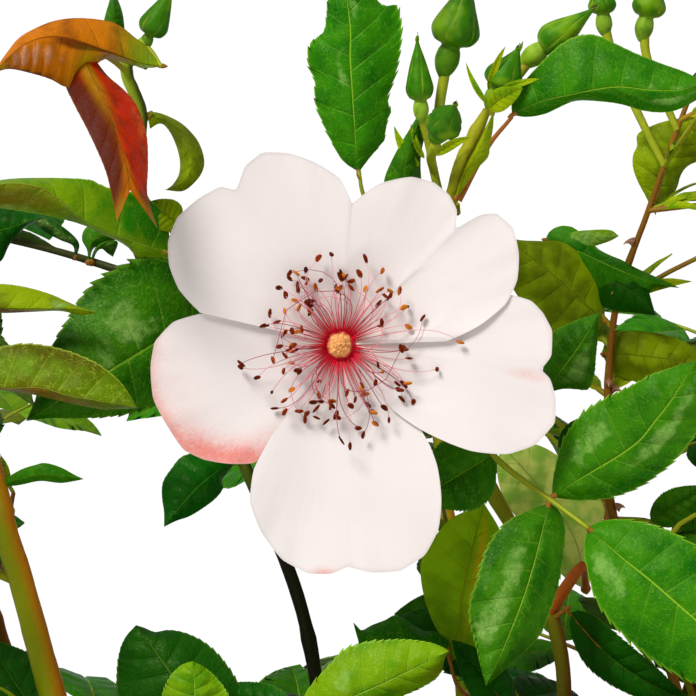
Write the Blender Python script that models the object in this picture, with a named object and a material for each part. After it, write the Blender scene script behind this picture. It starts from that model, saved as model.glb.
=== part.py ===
# Potted groundcover rose: a terracotta pot of soil, arching canes, their foliage with buds, and open blooms.
# Metres, +Z up. The origin is the middle of the pot's flat underside, and the best bloom faces -Y.

import math
import random

import bmesh
import bpy
from mathutils import Quaternion, Vector
from mathutils.bvhtree import BVHTree

MM = 0.001
UP = Vector((0, 0, 1))

# Pot and soil
POT_HEIGHT = 150 * MM
POT_FOOT_RADIUS = 59 * MM
POT_MOUTH_RADIUS = 80 * MM
POT_WALL = 6.5 * MM
POT_FLOOR = 8 * MM
RIM_HEIGHT = 27 * MM
RIM_STEP = 5 * MM
DRAIN_RADIUS = 5 * MM
DRAIN_RING = 27 * MM
DRAIN_HOLES = 3
SOIL_TOP = 135 * MM
SOIL_DOME = 3 * MM
CLEAR = 0.3 * MM

# The bloom sets the scale: 401 points of the picture are its real width
BLOOM_WIDTH = 75 * MM
BLOOM_PICTURE_WIDTH = 401
PIXEL = BLOOM_WIDTH / BLOOM_PICTURE_WIDTH
PICTURE_SIDE = 696
PICTURE_MIDDLE = PICTURE_SIDE / 2

# Where the picture is taken from: a level-ish look at the front of the crown
VIEW_MIDDLE = Vector((-33, -90, 335)) * MM
VIEW_DISTANCE = 600 * MM
VIEW_ELEVATION = math.radians(10)
LOOK = Vector((0, math.cos(VIEW_ELEVATION), -math.sin(VIEW_ELEVATION)))
PICTURE_UP = Vector((0, math.sin(VIEW_ELEVATION), math.cos(VIEW_ELEVATION)))
PICTURE_RIGHT = Vector((1, 0, 0))
EYE = VIEW_MIDDLE - LOOK * VIEW_DISTANCE
FRONT_LAYER = 36 * MM

# Canes and leaves
CANE_SIDES = 6
STEM_SIDES = 4
CANE_STEP = 19 * MM
STALK_RADIUS = 0.8 * MM
BUD_STALK_RADIUS = 0.9 * MM
BUD_LENGTH = 15 * MM
BUD_WIDTH = 7.6 * MM
HIP_WIDTH = 4.2 * MM
LEAFLET_LENGTH = 33 * MM
LEAFLET_SHAPE = 0.6
LEAFLET_ROOT = 0.8 * MM
SUNK_ROOT = 1.2 * MM
LEAF_REACH = 56 * MM
LEAF_STEP = 25 * MM
LEAF_TURN = 137.5
LEAF_KEEL = 0.8 * MM
TEST_KEEL = 1.8 * MM
TEST_GAP = 3 * MM


def seen(u, v, behind):
    # The place that shows at picture point (u, v), so many millimetres behind the bloom
    far = VIEW_DISTANCE + behind * MM
    spread = PIXEL * far / VIEW_DISTANCE
    across = (u - PICTURE_MIDDLE) * spread
    up = (PICTURE_MIDDLE - v) * spread
    return EYE + LOOK * far + PICTURE_RIGHT * across + PICTURE_UP * up


def picture(point):
    # The picture point of a place, and how far it is behind the bloom
    offset = point - EYE
    far = offset.dot(LOOK)
    spread = PIXEL * far / VIEW_DISTANCE
    u = PICTURE_MIDDLE + offset.dot(PICTURE_RIGHT) / spread
    v = PICTURE_MIDDLE - offset.dot(PICTURE_UP) / spread
    return u, v, far - VIEW_DISTANCE


# The picture's open sky, as discs of (u, v, radius), kept clear right through the crown
SKY = [
    (25, 130, 48), (55, 170, 22), (235, 70, 78), (205, 170, 26), (345, 190, 12), (412, 30, 24), (400, 85, 18),
    (505, 15, 26), (555, 165, 55), (615, 185, 42), (545, 210, 30), (495, 185, 25), (665, 245, 34),
    (690, 290, 26), (620, 20, 14), (672, 45, 12), (30, 265, 22), (70, 270, 18), (25, 330, 18),
    (60, 328, 14), (40, 445, 22), (90, 500, 62), (70, 580, 48), (140, 560, 68), (205, 590, 70),
    (225, 520, 34), (255, 640, 36), (95, 640, 22), (340, 605, 32), (375, 590, 24), (400, 590, 24),
    (330, 650, 18), (600, 660, 32), (630, 680, 24), (680, 470, 16),
]


# Canes. Those that the picture shows go through its points; the others arch out by a rule.
# foot: azimuth in degrees and distance in mm from the middle. radii: mm at the foot and the tip.
# bare: share of the cane that has no leaves and is its limb.
SHOWN_CANES = {
    "left": {
        "foot": (212, 30), "radii": (3.3, 1.3), "bare": 0.24,
        "points": [(60, 800, -2), (50, 700, -2), (21, 590, -2), (-4, 480, -2), (-30, 385, 0), (-62, 290, 4),
                   (-84, 200, 8)],
    },
    "shoot": {
        "foot": (236, 17), "radii": (2.3, 0.8), "bare": 0.26,
        "points": [(335, 800, 23), (318, 690, 21), (293, 580, 20), (243, 462, 20), (212, 380, 20),
                   (192, 300, 19), (172, 235, 14), (149, 165, 8), (146, 122, 5), (133, 92, 4), (126, 68, 3),
                   (146, 42, 1)],
    },
    "buds": {
        "foot": (292, 20), "radii": (2.2, 1.1), "bare": 0.26,
        "points": [(562, 800, 25), (560, 690, 25), (557, 615, 25), (512, 527, 26), (485, 478, 27),
                   (462, 400, 25), (452, 330, 21), (450, 262, 13), (456, 212, 9), (466, 175, 8),
                   (480, 140, 8), (495, 103, 8)],
    },
    "right": {
        "foot": (338, 25), "radii": (2.2, 0.8), "bare": 0.24,
        "points": [(690, 800, 30), (677, 690, 32), (640, 600, 37), (611, 510, 40), (607, 440, 42),
                   (608, 380, 42), (608, 330, 42), (632, 262, 42), (650, 205, 42), (662, 165, 42),
                   (690, 98, 41), (716, 30, 40)],
    },
    "low": {
        "foot": (262, 31), "radii": (2.4, 1.3), "bare": 0.42,
        "points": [(350, 900, 4), (340, 815, 6), (318, 768, 6)],
    },
}
# arch: azimuth in degrees, reach and rise of the tip in mm, and how far the cane bulges up, of its rise
ARCHED_CANES = {
    "front_right": {"foot": (312, 34), "arch": (303, 118, 92, 0.34), "radii": (2.6, 1.0), "bare": 0.24},
    "right_front": {"foot": (2, 30), "arch": (332, 150, 172, 0.16), "radii": (3.0, 1.1), "bare": 0.24},
    "right_side": {"foot": (25, 19), "arch": (14, 150, 222, 0.1), "radii": (3.2, 1.1), "bare": 0.22},
    "right_back": {"foot": (52, 31), "arch": (46, 142, 180, 0.14), "radii": (3.0, 1.1), "bare": 0.22},
    "back": {"foot": (88, 22), "arch": (98, 126, 168, 0.2), "radii": (3.3, 1.1), "bare": 0.22},
    "back_left": {"foot": (126, 31), "arch": (145, 176, 196, -0.34), "radii": (3.0, 1.1), "bare": 0.22},
    "left_back": {"foot": (162, 20), "arch": (169, 172, 150, 0.0), "radii": (3.1, 1.1), "bare": 0.22},
    "left_low": {"foot": (184, 33), "arch": (194, 152, 116, 0.24), "radii": (2.7, 1.0), "bare": 0.24},
    "front_left": {"foot": (238, 37), "arch": (236, 112, 80, 0.36), "radii": (2.4, 1.0), "bare": 0.26},
}

# Blooms. The shown one faces the eye; the others stand on the tips of their canes.
SHOWN_BLOOM = {"name": "bloom_front", "picture": (340, 345, 3), "spin": 0, "cup": 4.0}
OTHER_BLOOMS = {
    "right_front": {"name": "bloom_right", "tilt": 52, "turn": 4, "spin": 100, "cup": 8},
    "right_back": {"name": "bloom_back_right", "tilt": 40, "turn": -10, "spin": 210, "cup": 10},
    "left_back": {"name": "bloom_back_left", "tilt": 50, "turn": -10, "spin": 40, "cup": 9},
    "left_low": {"name": "bloom_left", "tilt": 55, "turn": -8, "spin": 290, "cup": 8},
}

# Outline of each petal: (degrees anticlockwise from the right, distance from the middle in picture points)
PETALS = {
    "upper_left": [(85, 141), (90, 166), (97, 182), (105, 198), (112, 207), (118, 202), (122, 190),
                   (124, 186), (127, 198), (134, 203), (142, 206), (149, 200), (155, 188), (161, 170),
                   (167, 143)],
    "upper_right": [(2, 106), (8, 141), (14, 171), (20, 188), (27, 200), (34, 208), (40, 204), (43, 190),
                    (45, 162), (49, 178), (54, 185), (60, 187), (67, 182), (76, 166), (85, 141)],
    "right": [(-48, 92), (-44, 132), (-39, 168), (-33, 200), (-27, 219), (-20, 228), (-14, 222), (-9, 212),
              (-7, 202), (-3, 211), (4, 212), (9, 205), (13, 196), (16, 180), (20, 150)],
    "bottom": [(-127, 112), (-125, 150), (-120, 180), (-113, 202), (-105, 222), (-98, 230), (-92, 228),
               (-88, 221), (-82, 229), (-75, 233), (-68, 226), (-62, 209), (-57, 186), (-52, 160),
               (-50, 118)],
    "left": [(163, 110), (167, 141), (172, 168), (179, 185), (186, 190), (196, 194), (206, 190), (214, 188),
             (220, 178), (228, 160), (234, 146), (238, 118)],
}

# Leaves that the picture shows, cane by cane: the stalk's points (u, v, behind), the first on the cane, and
# its leaflets. A leaflet has its joint on the stalk, its tip (u, v, behind), its width in picture points, its
# roll about the midrib in degrees, and how far the midrib bows to its left in picture points.
SHOWN_LEAVES = {
    "left": [
        ([(-62, 300, 5), (-58, 372, 2), (-50, 378, 0)],
         [(1, (137, 408, -4), 76, 24, 12), (0, (98, 313, 3), 62, 58, 4)]),
        ([(-4, 480, -2), (2, 484, -3)], [(1, (82, 480, -5), 26, 20, 8)]),
        ([(56, 742, -2), (60, 740, 4)], [(1, (-12, 640, 8), 78, -10, 0)]),
    ],
    "shoot": [
        ([(243, 462, 20), (232, 459, 18)], [(1, (165, 526, 12), 66, 12, -10)]),
        ([(196, 315, 19), (205, 318, 14)], [(1, (28, 418, 6), 136, 6, 4)]),
        ([(176, 250, 16), (168, 252, 13)], [(1, (-62, 196, 2), 88, 16, 16)]),
        ([(190, 292, 19), (112, 268, 26), (60, 252, 26), (10, 240, 26), (-30, 232, 24)],
         [(3, (-36, 205, 22), 44, 20, 0), (2, (35, 214, 26), 20, 30, 0), (1, (128, 226, 27), 34, 20, 0),
          (4, (-92, 262, 24), 60, 10, 0), (1, (96, 248, 28), 18, 20, 0)]),
        ([(172, 232, 14), (186, 222, 15)], [(1, (148, 202, 15), 34, 10, 0)]),
        ([(148, 155, 8), (144, 190, -4), (139, 228, -10)], [(2, (64, 66, -20), 64, -14, -6)]),
        ([(146, 46, 2), (153, 54, -2), (161, 66, -5)], [(2, (-14, 78, -16), 68, 30, -38)]),
        ([(144, 116, 5), (152, 112, 4)], [(1, (169, 191, 2), 34, 40, 34)]),
        ([(127, 66, 3), (119, 58, 6)], [(1, (112, -14, 5), 26, 10, 0)]),
    ],
    "buds": [
        ([(456, 330, 21), (470, 415, 18), (497, 459, 12), (552, 501, 6), (588, 528, 2)],
         [(2, (420, 500, 16), 76, 8, 0), (3, (480, 684, -4), 90, -14, 8), (3, (698, 360, -6), 98, 16, 6),
          (4, (772, 674, -10), 124, -6, 0)]),
        ([(452, 300, 18), (400, 245, 13), (366, 200, 10), (359, 172, 9)], [(3, (344, -32, 6), 94, 0, -4)]),
        ([(458, 200, 9), (487, 148, 8), (512, 117, 7)], [(2, (716, 94, 0), 86, 22, 22)]),
        ([(450, 262, 13), (412, 240, 12)], [(1, (439, 118, 8), 60, 8, 0)]),
        ([(455, 214, 9), (458, 204, 5)], [(1, (493, 108, 4), 28, 10, -4)]),
        ([(560, 726, 26), (508, 716, 29), (462, 692, 33), (448, 655, 31)],
         [(2, (484, 503, 31), 84, 6, 0), (3, (353, 628, 27), 48, 30, 8), (1, (452, 640, 24), 48, 20, 0)]),
        ([(557, 618, 25), (570, 607, 21)], [(1, (694, 702, 16), 52, 26, -10)]),
        ([(556, 612, 25), (582, 566, 20), (586, 590, 38)], [(2, (500, 440, 43), 76, 6, 0)]),
    ],
    "right": [
        ([(662, 168, 42), (656, 205, 47)], [(1, (696, 92, 46), 76, 8, 0)]),
        ([(608, 330, 42), (590, 300, 43), (574, 262, 44)],
         [(2, (624, 236, 42), 24, 10, 0), (2, (682, 290, 38), 46, 24, 10), (1, (658, 314, 38), 42, 10, 0),
          (0, (505, 236, 38), 84, 10, 6)]),
        ([(607, 430, 42), (560, 425, 28), (548, 393, 18)],
         [(2, (599, 317, 14), 64, 4, 0), (1, (600, 455, 30), 50, 20, 0)]),
        ([(608, 352, 42), (603, 356, 45)], [(1, (716, 372, 43), 50, 20, 10)]),
        ([(614, 520, 40), (652, 522, 50), (672, 540, 54)],
         [(1, (706, 486, 50), 40, 14, 0), (2, (740, 512, 54), 44, 14, 0), (2, (722, 590, 54), 54, 14, 0)]),
    ],
    "low": [
        ([(318, 768, 6), (298, 718, 3), (232, 736, 7), (196, 742, 4)],
         [(1, (448, 650, -3), 82, -8, 12), (2, (135, 622, 12), 96, 0, -8), (3, (195, 661, 0), 68, 0, 0),
          (1, (214, 688, 13), 46, 20, 0)]),
    ],
}

# Buds that the picture shows: the stalk's points, the first on the cane, then the hip and the bud's tip
# (u, v, behind), and the widths of hip and bud in picture points
SHOWN_BUDS = {
    "shoot": [([(144, 50, 2)], (146, 42, 1), (173, -14, -2), (13, 30))],
    "buds": [
        ([(474, 156, 8), (448, 128, 8), (441, 95, 8)], (447, 60, 7), (470, -26, 4), (25, 49)),
        ([(448, 128, 8), (432, 138, 7)], (421, 110, 6), (417, 37, 5), (16, 28)),
        ([(470, 165, 8), (444, 150, 3)], (438, 134, 0), (456, 104, -12), (20, 36)),
        ([(489, 115, 8)], (494, 97, 8), (520, 46, 3), (20, 40)),
        ([(493, 108, 9), (512, 84, 12)], (533, 56, 12), (596, 7, 8), (22, 36)),
    ],
    "right": [
        ([(662, 165, 42), (640, 118, 43), (614, 60, 44)], (604, 24, 44), (600, -24, 44), (18, 30)),
        ([(676, 130, 42), (648, 62, 42)], (644, 28, 42), (656, -28, 42), (20, 36)),
    ],
}


# Geometry


def smooth(points, steps):
    # A rounded line through the points, with so many steps between each two
    ends = [points[0] * 2 - points[1], *points, points[-1] * 2 - points[-2]]
    line = []
    for i in range(1, len(ends) - 2):
        a, b, c, d = ends[i - 1 : i + 3]
        for k in range(steps):
            t = k / steps
            bend = (a * 2 - b * 5 + c * 4 - d) * t**2 + (b * 3 - a - c * 3 + d) * t**3
            line.append((b * 2 + (c - a) * t + bend) * 0.5)
    return [*line, points[-1].copy()]


def spaced(line, step):
    # The line again, with points about one step apart
    lengths = [0.0]
    for a, b in zip(line, line[1:]):
        lengths.append(lengths[-1] + (b - a).length)
    count = max(1, round(lengths[-1] / step))
    result, i = [], 0
    for k in range(count + 1):
        target = lengths[-1] * k / count
        while i < len(line) - 2 and lengths[i + 1] < target:
            i += 1
        share = (target - lengths[i]) / max(lengths[i + 1] - lengths[i], 1e-9)
        result.append(line[i].lerp(line[i + 1], min(1.0, share)))
    return result


def across(direction, wanted):
    # The part of a wanted direction that is square to another
    found = wanted - direction * wanted.dot(direction)
    return found.normalized() if found.length > 1e-6 else direction.orthogonal().normalized()


def turned(vector, axis, degrees):
    return Quaternion(axis, math.radians(degrees)) @ vector


def tangents(line):
    found = [(b - a).normalized() for a, b in zip(line, line[2:])]
    return [(line[1] - line[0]).normalized(), *found, (line[-1] - line[-2]).normalized()]


def tube(line, radii, sides, ways=None):
    # A closed tube along the line, square to it or to the ways given: (points, faces)
    ways = ways or tangents(line)
    side = ways[0].orthogonal().normalized()
    points, faces = [], []
    for centre, along, radius in zip(line, ways, radii):
        side = across(along, side)
        points += [centre + turned(side, along, 360 * k / sides) * radius for k in range(sides)]
    for i in range(len(line) - 1):
        for k in range(sides):
            j, n = i * sides, (k + 1) % sides
            faces.append((j + k, j + n, j + n + sides, j + k + sides))
    faces.append(tuple(reversed(range(sides))))
    faces.append(tuple(range(len(points) - sides, len(points))))
    return points, faces


def turned_shape(foot, axis, profile, sides):
    # A closed round shape on an axis, from (height, radius) pairs that start and end on it
    side = axis.orthogonal().normalized()
    points = [foot + axis * profile[0][0]]
    for height, radius in profile[1:-1]:
        points += [foot + axis * height + turned(side, axis, 360 * k / sides) * radius for k in range(sides)]
    points.append(foot + axis * profile[-1][0])
    faces, last = [], len(points) - 1
    for k in range(sides):
        n = (k + 1) % sides
        faces.append((0, 1 + n, 1 + k))
        for i in range(len(profile) - 3):
            j = 1 + i * sides
            faces.append((j + k, j + n, j + n + sides, j + k + sides))
        faces.append((last, last - sides + k, last - sides + n))
    return points, faces


def blade_line(leaf, t):
    # A point of a leaflet's midrib, which arches back and may bow sideways
    hump = 4 * t * (1 - t)
    base, tip = leaf["base"], leaf["tip"]
    return base.lerp(tip, t) + leaf["normal"] * (leaf["arch"] * hump) + leaf["side"] * (leaf["bow"] * hump)


def outline(leaf):
    # The five far corners of a leaflet's outline: two on its right, its tip, and two on its left
    rows = []
    for t, share in ((0.36, 0.5), (0.72, 0.36)):
        half = leaf["width"] * share
        middle = blade_line(leaf, t) + leaf["normal"] * leaf["fold"] * half
        rows.append((middle - leaf["side"] * half, middle + leaf["side"] * half))
    return [rows[0][0], rows[1][0], leaf["tip"], rows[1][1], rows[0][1]]


def blade(leaf, keel, root=0.0):
    # A leaflet as a closed solid of ten faces: its outline over one keel point
    base = leaf["base"].lerp(leaf["tip"], root / (leaf["tip"] - leaf["base"]).length)
    points = [base, *outline(leaf), blade_line(leaf, 0.5) - leaf["normal"] * keel]
    upper = [(0, 1, 5), (5, 1, 2), (5, 2, 4), (4, 2, 3)]
    return points, upper + [(6, k, (k + 1) % 6) for k in range(6)]


def compound_leaf(leaf):
    # A stalk and its leaflets as one closed skin. A ring has a left, a right and a lower corner, and each
    # leaflet grows out of the face between two rings that are close together.
    stalk, ways = leaf["stalk"], tangents(leaf["stalk"])
    points, faces, grown = [], [], {}
    for i, (centre, along) in enumerate(zip(stalk, ways)):
        normal = across(along, leaf["facing"])
        side = normal.cross(along)
        on_joint = [k for k in leaf["leaflets"] if k["joint"] == i and k["sign"]]
        for offset in (-LEAFLET_ROOT, LEAFLET_ROOT) if on_joint else (0,):
            middle = centre + along * offset
            for turn in (30, 150, 270):
                out = side * math.cos(math.radians(turn)) + normal * math.sin(math.radians(turn))
                points.append(middle + out * STALK_RADIUS)
        for found in on_joint:
            grown[len(points) - 6, found["sign"]] = found
    end = len(points) - 3
    faces.append((0, 1, 2))
    for j in range(0, end, 3):
        left, right, low = (j, j + 3), (j + 1, j + 4), (j + 2, j + 5)
        faces.append((left[0], right[0], right[1], left[1]))
        roots = {1: (left[0], left[1], low[1], low[0]), -1: (right[1], right[0], low[0], low[1])}
        for sign, root in roots.items():
            if (j, sign) in grown:
                add_leaflet(points, faces, grown[j, sign], root)
            else:
                faces.append(root)
    add_leaflet(points, faces, leaf["leaflets"][-1], (end, end + 1, end + 2))
    return points, faces


def add_leaflet(points, faces, leaf, root):
    # Skins a leaflet from its root's corners (upper left, upper right, then the lower ones) to its outline
    first = len(points)
    points += [*outline(leaf), blade_line(leaf, 0.5) - leaf["normal"] * LEAF_KEEL]
    right, far_right, tip, far_left, left, keel = range(first, first + 6)
    faces += [(root[0], root[1], right), (root[0], right, left), (left, right, far_right)]
    faces += [(left, far_right, far_left), (far_left, far_right, tip)]
    faces += [(root[0], left, root[-1]), (root[1], root[2], right)]
    ring = [*root[2:], left, far_left, tip, far_right, right]
    faces += [(keel, a, b) for a, b in zip(ring, ring[1:] + ring[:1])]


# The plan: where each cane, leaf, bud and bloom is


def cane_line(cane):
    azimuth, distance = math.radians(cane["foot"][0]), cane["foot"][1] * MM
    foot = Vector((distance * math.cos(azimuth), distance * math.sin(azimuth), 0))
    foot.z = soil_height(distance) + CLEAR
    if "points" in cane:
        first = seen(*cane["points"][0])
        low = foot.lerp(first, 0.42)
        low.z += 6 * MM
        return rooted(foot, [low, *[seen(*p) for p in cane["points"]]])
    turn, reach, rise, bulge = cane["arch"]
    out = Vector((math.cos(math.radians(turn)), math.sin(math.radians(turn)), 0))
    tip = out * reach * MM + UP * (foot.z + rise * MM)
    middle = foot.lerp(tip, 0.4) + UP * max(bulge, bulge * 0.3) * rise * MM
    high = foot.lerp(tip, 0.75) + UP * bulge * rise * MM
    return rooted(foot, [middle, high, tip])


def rooted(foot, points):
    # A cane's line, which leaves its flat foot straight up
    line = spaced(smooth([foot, foot + UP * 9 * MM, *points], 8), CANE_STEP)
    return [foot, foot + UP * 3 * MM, *line[1:]]


def soil_height(distance):
    return SOIL_TOP + SOIL_DOME * (1 - min(1, distance / POT_MOUTH_RADIUS) ** 2)


def cane_radii(cane, line):
    foot, tip = (r * MM for r in cane["radii"])
    last = len(line) - 1
    flare = [0.9 * MM if i == 0 else 0 for i in range(len(line))]
    return [foot + (tip - foot) * (i / last) ** 0.85 + flare[i] for i in range(len(line))]


def leaflet(base, tip, facing, width, roll=0.0, bow=0.0, arch=0.07, fold=0.12):
    along = (tip - base).normalized()
    normal = turned(across(along, facing), along, roll)
    length = (tip - base).length
    return {
        "base": base, "tip": tip, "normal": normal, "side": normal.cross(along), "width": width,
        "bow": bow, "arch": arch * length, "fold": fold,
    }


def nearest(line, point):
    # The place on a line of points that is nearest to a point
    best = line[0]
    for a, b in zip(line, line[1:]):
        share = max(0, min(1, (point - a).dot(b - a) / (b - a).length_squared))
        found = a.lerp(b, share)
        if (found - point).length < (best - point).length:
            best = found
    return best


def shown_leaf(leaf, line):
    # Its first point is moved onto its cane
    stalk = [seen(*p) for p in leaf[0]]
    stalk[0] = nearest(line, stalk[0])
    leaflets = []
    for joint, tip, width, roll, bow in leaf[1]:
        back = stalk[joint - 1 if joint else 1] - stalk[joint]
        base = stalk[joint] + back.normalized() * SUNK_ROOT
        leaflets.append(leaflet(base, seen(*tip), -LOOK, width * PIXEL, roll, bow * PIXEL))
    return {"stalk": stalk, "leaflets": leaflets, "shown": True}


def rule_leaf(draw, root, along, out, size, pairs):
    # A compound leaf: a stalk that leaves the cane and bends over, with leaflets in pairs and one at its end
    start = (out * 0.85 + along * draw.uniform(0.35, 0.75)).normalized()
    reach = LEAF_REACH * size
    bend = (start + out * 0.35 - UP * draw.uniform(0.15, 0.5)).normalized()
    middle = root + start * reach * 0.42
    rest = reach * 0.58
    shares = [(k + 1) / (pairs + 1) for k in range(pairs + 1)]
    stalk = [root, middle, *[middle + bend * rest * s - UP * rest * 0.1 * s**2 for s in shares]]
    facing = UP * 0.9 + out * draw.uniform(0.1, 0.5)
    facing += Vector((draw.uniform(-0.3, 0.3), draw.uniform(-0.5, 0.1), 0))
    ends = tangents(stalk)
    leaflets = []
    for place in range(pairs + 1):
        joint = len(stalk) - 1 - pairs + place
        terminal = place == pairs
        base, heading = stalk[joint], ends[joint]
        normal = across(heading, facing)
        length = LEAFLET_LENGTH * size * (1.05 if terminal else 0.8 + 0.14 * place)
        for sign in (0,) if terminal else (1, -1):
            way = turned(heading, normal, sign * draw.uniform(56, 70))
            way = (way - UP * draw.uniform(0.02, 0.3)).normalized()
            width = length * LEAFLET_SHAPE * draw.uniform(0.92, 1.08)
            found = leaflet(base, base + way * length, normal, width, roll=draw.uniform(-16, 16),
                            bow=draw.uniform(-0.04, 0.04) * length, arch=draw.uniform(0.03, 0.12))
            found["joint"], found["sign"] = joint, sign
            leaflets.append(found)
    return {"stalk": stalk, "leaflets": leaflets, "facing": facing, "shown": False}


def shown_bud(bud, line):
    points, hip, tip, widths = bud
    stalk = [seen(*p) for p in [*points, hip]]
    stalk[0] = nearest(line, stalk[0])
    return {"stalk": stalk, "tip": seen(*tip), "widths": [w * PIXEL for w in widths]}


def rule_buds(draw, tip, along, count):
    # A small cluster of buds at a cane's tip
    found = []
    for k in range(count):
        lean = turned(across(along, UP), along, 360 * k / count + draw.uniform(-25, 25))
        way = (along * 1.3 + lean * (0.7 if count > 1 else 0.1) + UP * 0.5).normalized()
        reach, size = draw.uniform(13, 21) * MM, draw.uniform(0.75, 1.1)
        hip = tip + way * reach
        stalk = [tip - along * 2 * MM, tip + (along + way).normalized() * reach * 0.5, hip]
        end = hip + (way + UP * 0.2).normalized() * BUD_LENGTH * size
        found.append({"stalk": stalk, "tip": end, "widths": [HIP_WIDTH * size, BUD_WIDTH * size]})
    return found


def bloom_at(centre, axis, spin, cup, name):
    right = turned(across(axis, PICTURE_RIGHT), axis, spin)
    top = axis.cross(right)
    return {"name": name, "centre": centre, "axis": axis, "right": right, "top": top, "cup": cup * MM}


def points_of(leaf):
    return [leaf["base"], *outline(leaf), blade_line(leaf, 0.2), blade_line(leaf, 0.85)]


def blocks_view(leaf):
    # A leaf made by rule stays out of the picture's sky and behind what the picture shows
    for point in points_of(leaf):
        u, v, behind = picture(point)
        if -14 < u < PICTURE_SIDE + 14 and -14 < v < PICTURE_SIDE + 14:
            if behind < FRONT_LAYER or any(math.hypot(u - a, v - b) < r for a, b, r in SKY):
                return True
    return False


class Space:
    # What is already taken, so that nothing grows through anything else

    def __init__(self):
        self.taken = []

    @staticmethod
    def shape(points, faces):
        centre = sum(points, Vector()) / len(points)
        radius = max((p - centre).length for p in points)
        return centre, radius, BVHTree.FromPolygons(points, faces)

    def add(self, owner, points, faces):
        self.taken.append((owner, *self.shape(points, faces)))

    def free(self, points, faces, but=()):
        centre, radius, tree = self.shape(points, faces)
        for owner, other, reach, solid in self.taken:
            if owner not in but and (other - centre).length < radius + reach and tree.overlap(solid):
                return False
        return True


def pot_shape(grown):
    # The pot and its soil as one plain round body, for keeping leaves off it
    mouth, rim_low = POT_MOUTH_RADIUS + grown, POT_HEIGHT - RIM_HEIGHT
    rim = mouth + RIM_STEP
    top = POT_HEIGHT + grown
    profile = [(0, 0), (0, POT_FOOT_RADIUS + grown), (rim_low, mouth), (rim_low, rim), (top, rim), (top, 0)]
    return turned_shape(Vector(), UP, profile, 32)


def bloom_disc(bloom):
    # A bloom as a plain thick disc, for keeping leaves off it
    edge, cup = BLOOM_WIDTH * 0.53, bloom["cup"]
    low, high = -7 * MM, 7 * MM
    profile = [
        (low, 0), (low / 2, edge * 0.3), (cup - 4 * MM, edge), (cup + 4 * MM, edge), (high, edge * 0.4),
    ]
    return turned_shape(bloom["centre"], bloom["axis"], [*profile, (high, 0)], 16)


def plan_plant():
    space = Space()
    space.add("pot", *pot_shape(2 * MM))
    canes, blooms = {}, []
    for name, cane in {**SHOWN_CANES, **ARCHED_CANES}.items():
        line = cane_line(cane)
        radii = cane_radii(cane, line)
        split = round(cane["bare"] * (len(line) - 1))
        canes[name] = {"line": line, "radii": radii, "split": split, "leaves": [], "buds": []}
        space.add("cane " + name, *tube(line, [r + 0.4 * MM for r in radii], 5))
    shown = SHOWN_BLOOM
    front = bloom_at(seen(*shown["picture"]), -LOOK, shown["spin"], shown["cup"], shown["name"])
    blooms.append(front)
    space.add("front bloom", *bloom_disc(front))
    for name, bloom in OTHER_BLOOMS.items():
        line = canes[name]["line"]
        out = Vector((line[-1].x, line[-1].y, 0)).normalized()
        out, tilt = turned(out, UP, bloom["turn"]), math.radians(bloom["tilt"])
        axis = out * math.sin(tilt) + UP * math.cos(tilt)
        found = bloom_at(line[-1] + axis * 12 * MM, axis, bloom["spin"], bloom["cup"], bloom["name"])
        blooms.append(found)
        space.add("bloom " + name, *bloom_disc(found))
    for name, cane in canes.items():
        leafy = cane["line"][cane["split"] + 1 :]
        cane["leaves"] = [shown_leaf(leaf, leafy) for leaf in SHOWN_LEAVES.get(name, [])]
        cane["buds"] = [shown_bud(bud, leafy) for bud in SHOWN_BUDS.get(name, [])]
        for leaf in cane["leaves"]:
            add_leaf(space, name, leaf)
        for bud in cane["buds"]:
            space.add(name, *bud_tube(bud))
    for seed, (name, cane) in enumerate(canes.items()):
        grow_tip(random.Random(900 + seed), name, cane, space)
    for seed, (name, cane) in enumerate(canes.items()):
        grow_leaves(random.Random(100 + seed), name, cane, space)
    return canes, blooms


def bud_tube(bud):
    return tube([bud["stalk"][-1], bud["tip"]], [bud["widths"][1] / 2] * 2, 6)


def grow_tip(draw, name, cane, space):
    # A cane with no bloom or shown buds at its end gets a small cluster of buds
    if name in OTHER_BLOOMS or cane["buds"] or name == "low":
        return
    line = cane["line"]
    for bud in rule_buds(draw, line[-1], tangents(line)[-1], draw.choice((2, 3))):
        if space.free(*bud_tube(bud), but=("cane " + name, name)):
            cane["buds"].append(bud)
            space.add(name, *bud_tube(bud))


def grow_leaves(draw, name, cane, space):
    line, ways = cane["line"], tangents(cane["line"])
    turn = draw.uniform(0, 360)
    travelled = 0.0
    for i in range(cane["split"] + 1, len(line) - 1):
        travelled += (line[i] - line[i - 1]).length
        if travelled < LEAF_STEP:
            continue
        travelled -= LEAF_STEP
        turn += LEAF_TURN
        for attempt in range(9):
            out = turned(across(ways[i], UP), ways[i], turn + draw.uniform(-30, 30) + 40 * attempt)
            size = draw.uniform(0.82, 1.08) * (1 - 0.04 * attempt)
            leaf = rule_leaf(draw, line[i], ways[i], out, size, draw.choice((2, 2, 3)))
            kept = fitting(leaf, space)
            if len(kept) >= 3 and kept[-1]["sign"] == 0 and stalk_fits(leaf, name, space):
                leaf["leaflets"] = kept
                cane["leaves"].append(leaf)
                add_leaf(space, name, leaf)
                break


def add_leaf(space, name, leaf):
    for found in leaf["leaflets"]:
        space.add(name, *blade(found, TEST_KEEL))
    space.add(name, *tube(leaf["stalk"], [STALK_RADIUS] * len(leaf["stalk"]), 3))


def fitting(leaf, space):
    # The leaflets of a leaf that are clear of everything, and of each other past their roots
    kept, own = [], []
    for found in leaf["leaflets"]:
        solid = blade(found, TEST_KEEL, TEST_GAP)
        tree = BVHTree.FromPolygons(*solid)
        if blocks_view(found) or not space.free(*solid) or any(tree.overlap(other) for other in own):
            continue
        kept.append(found)
        own.append(tree)
    return kept


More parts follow.
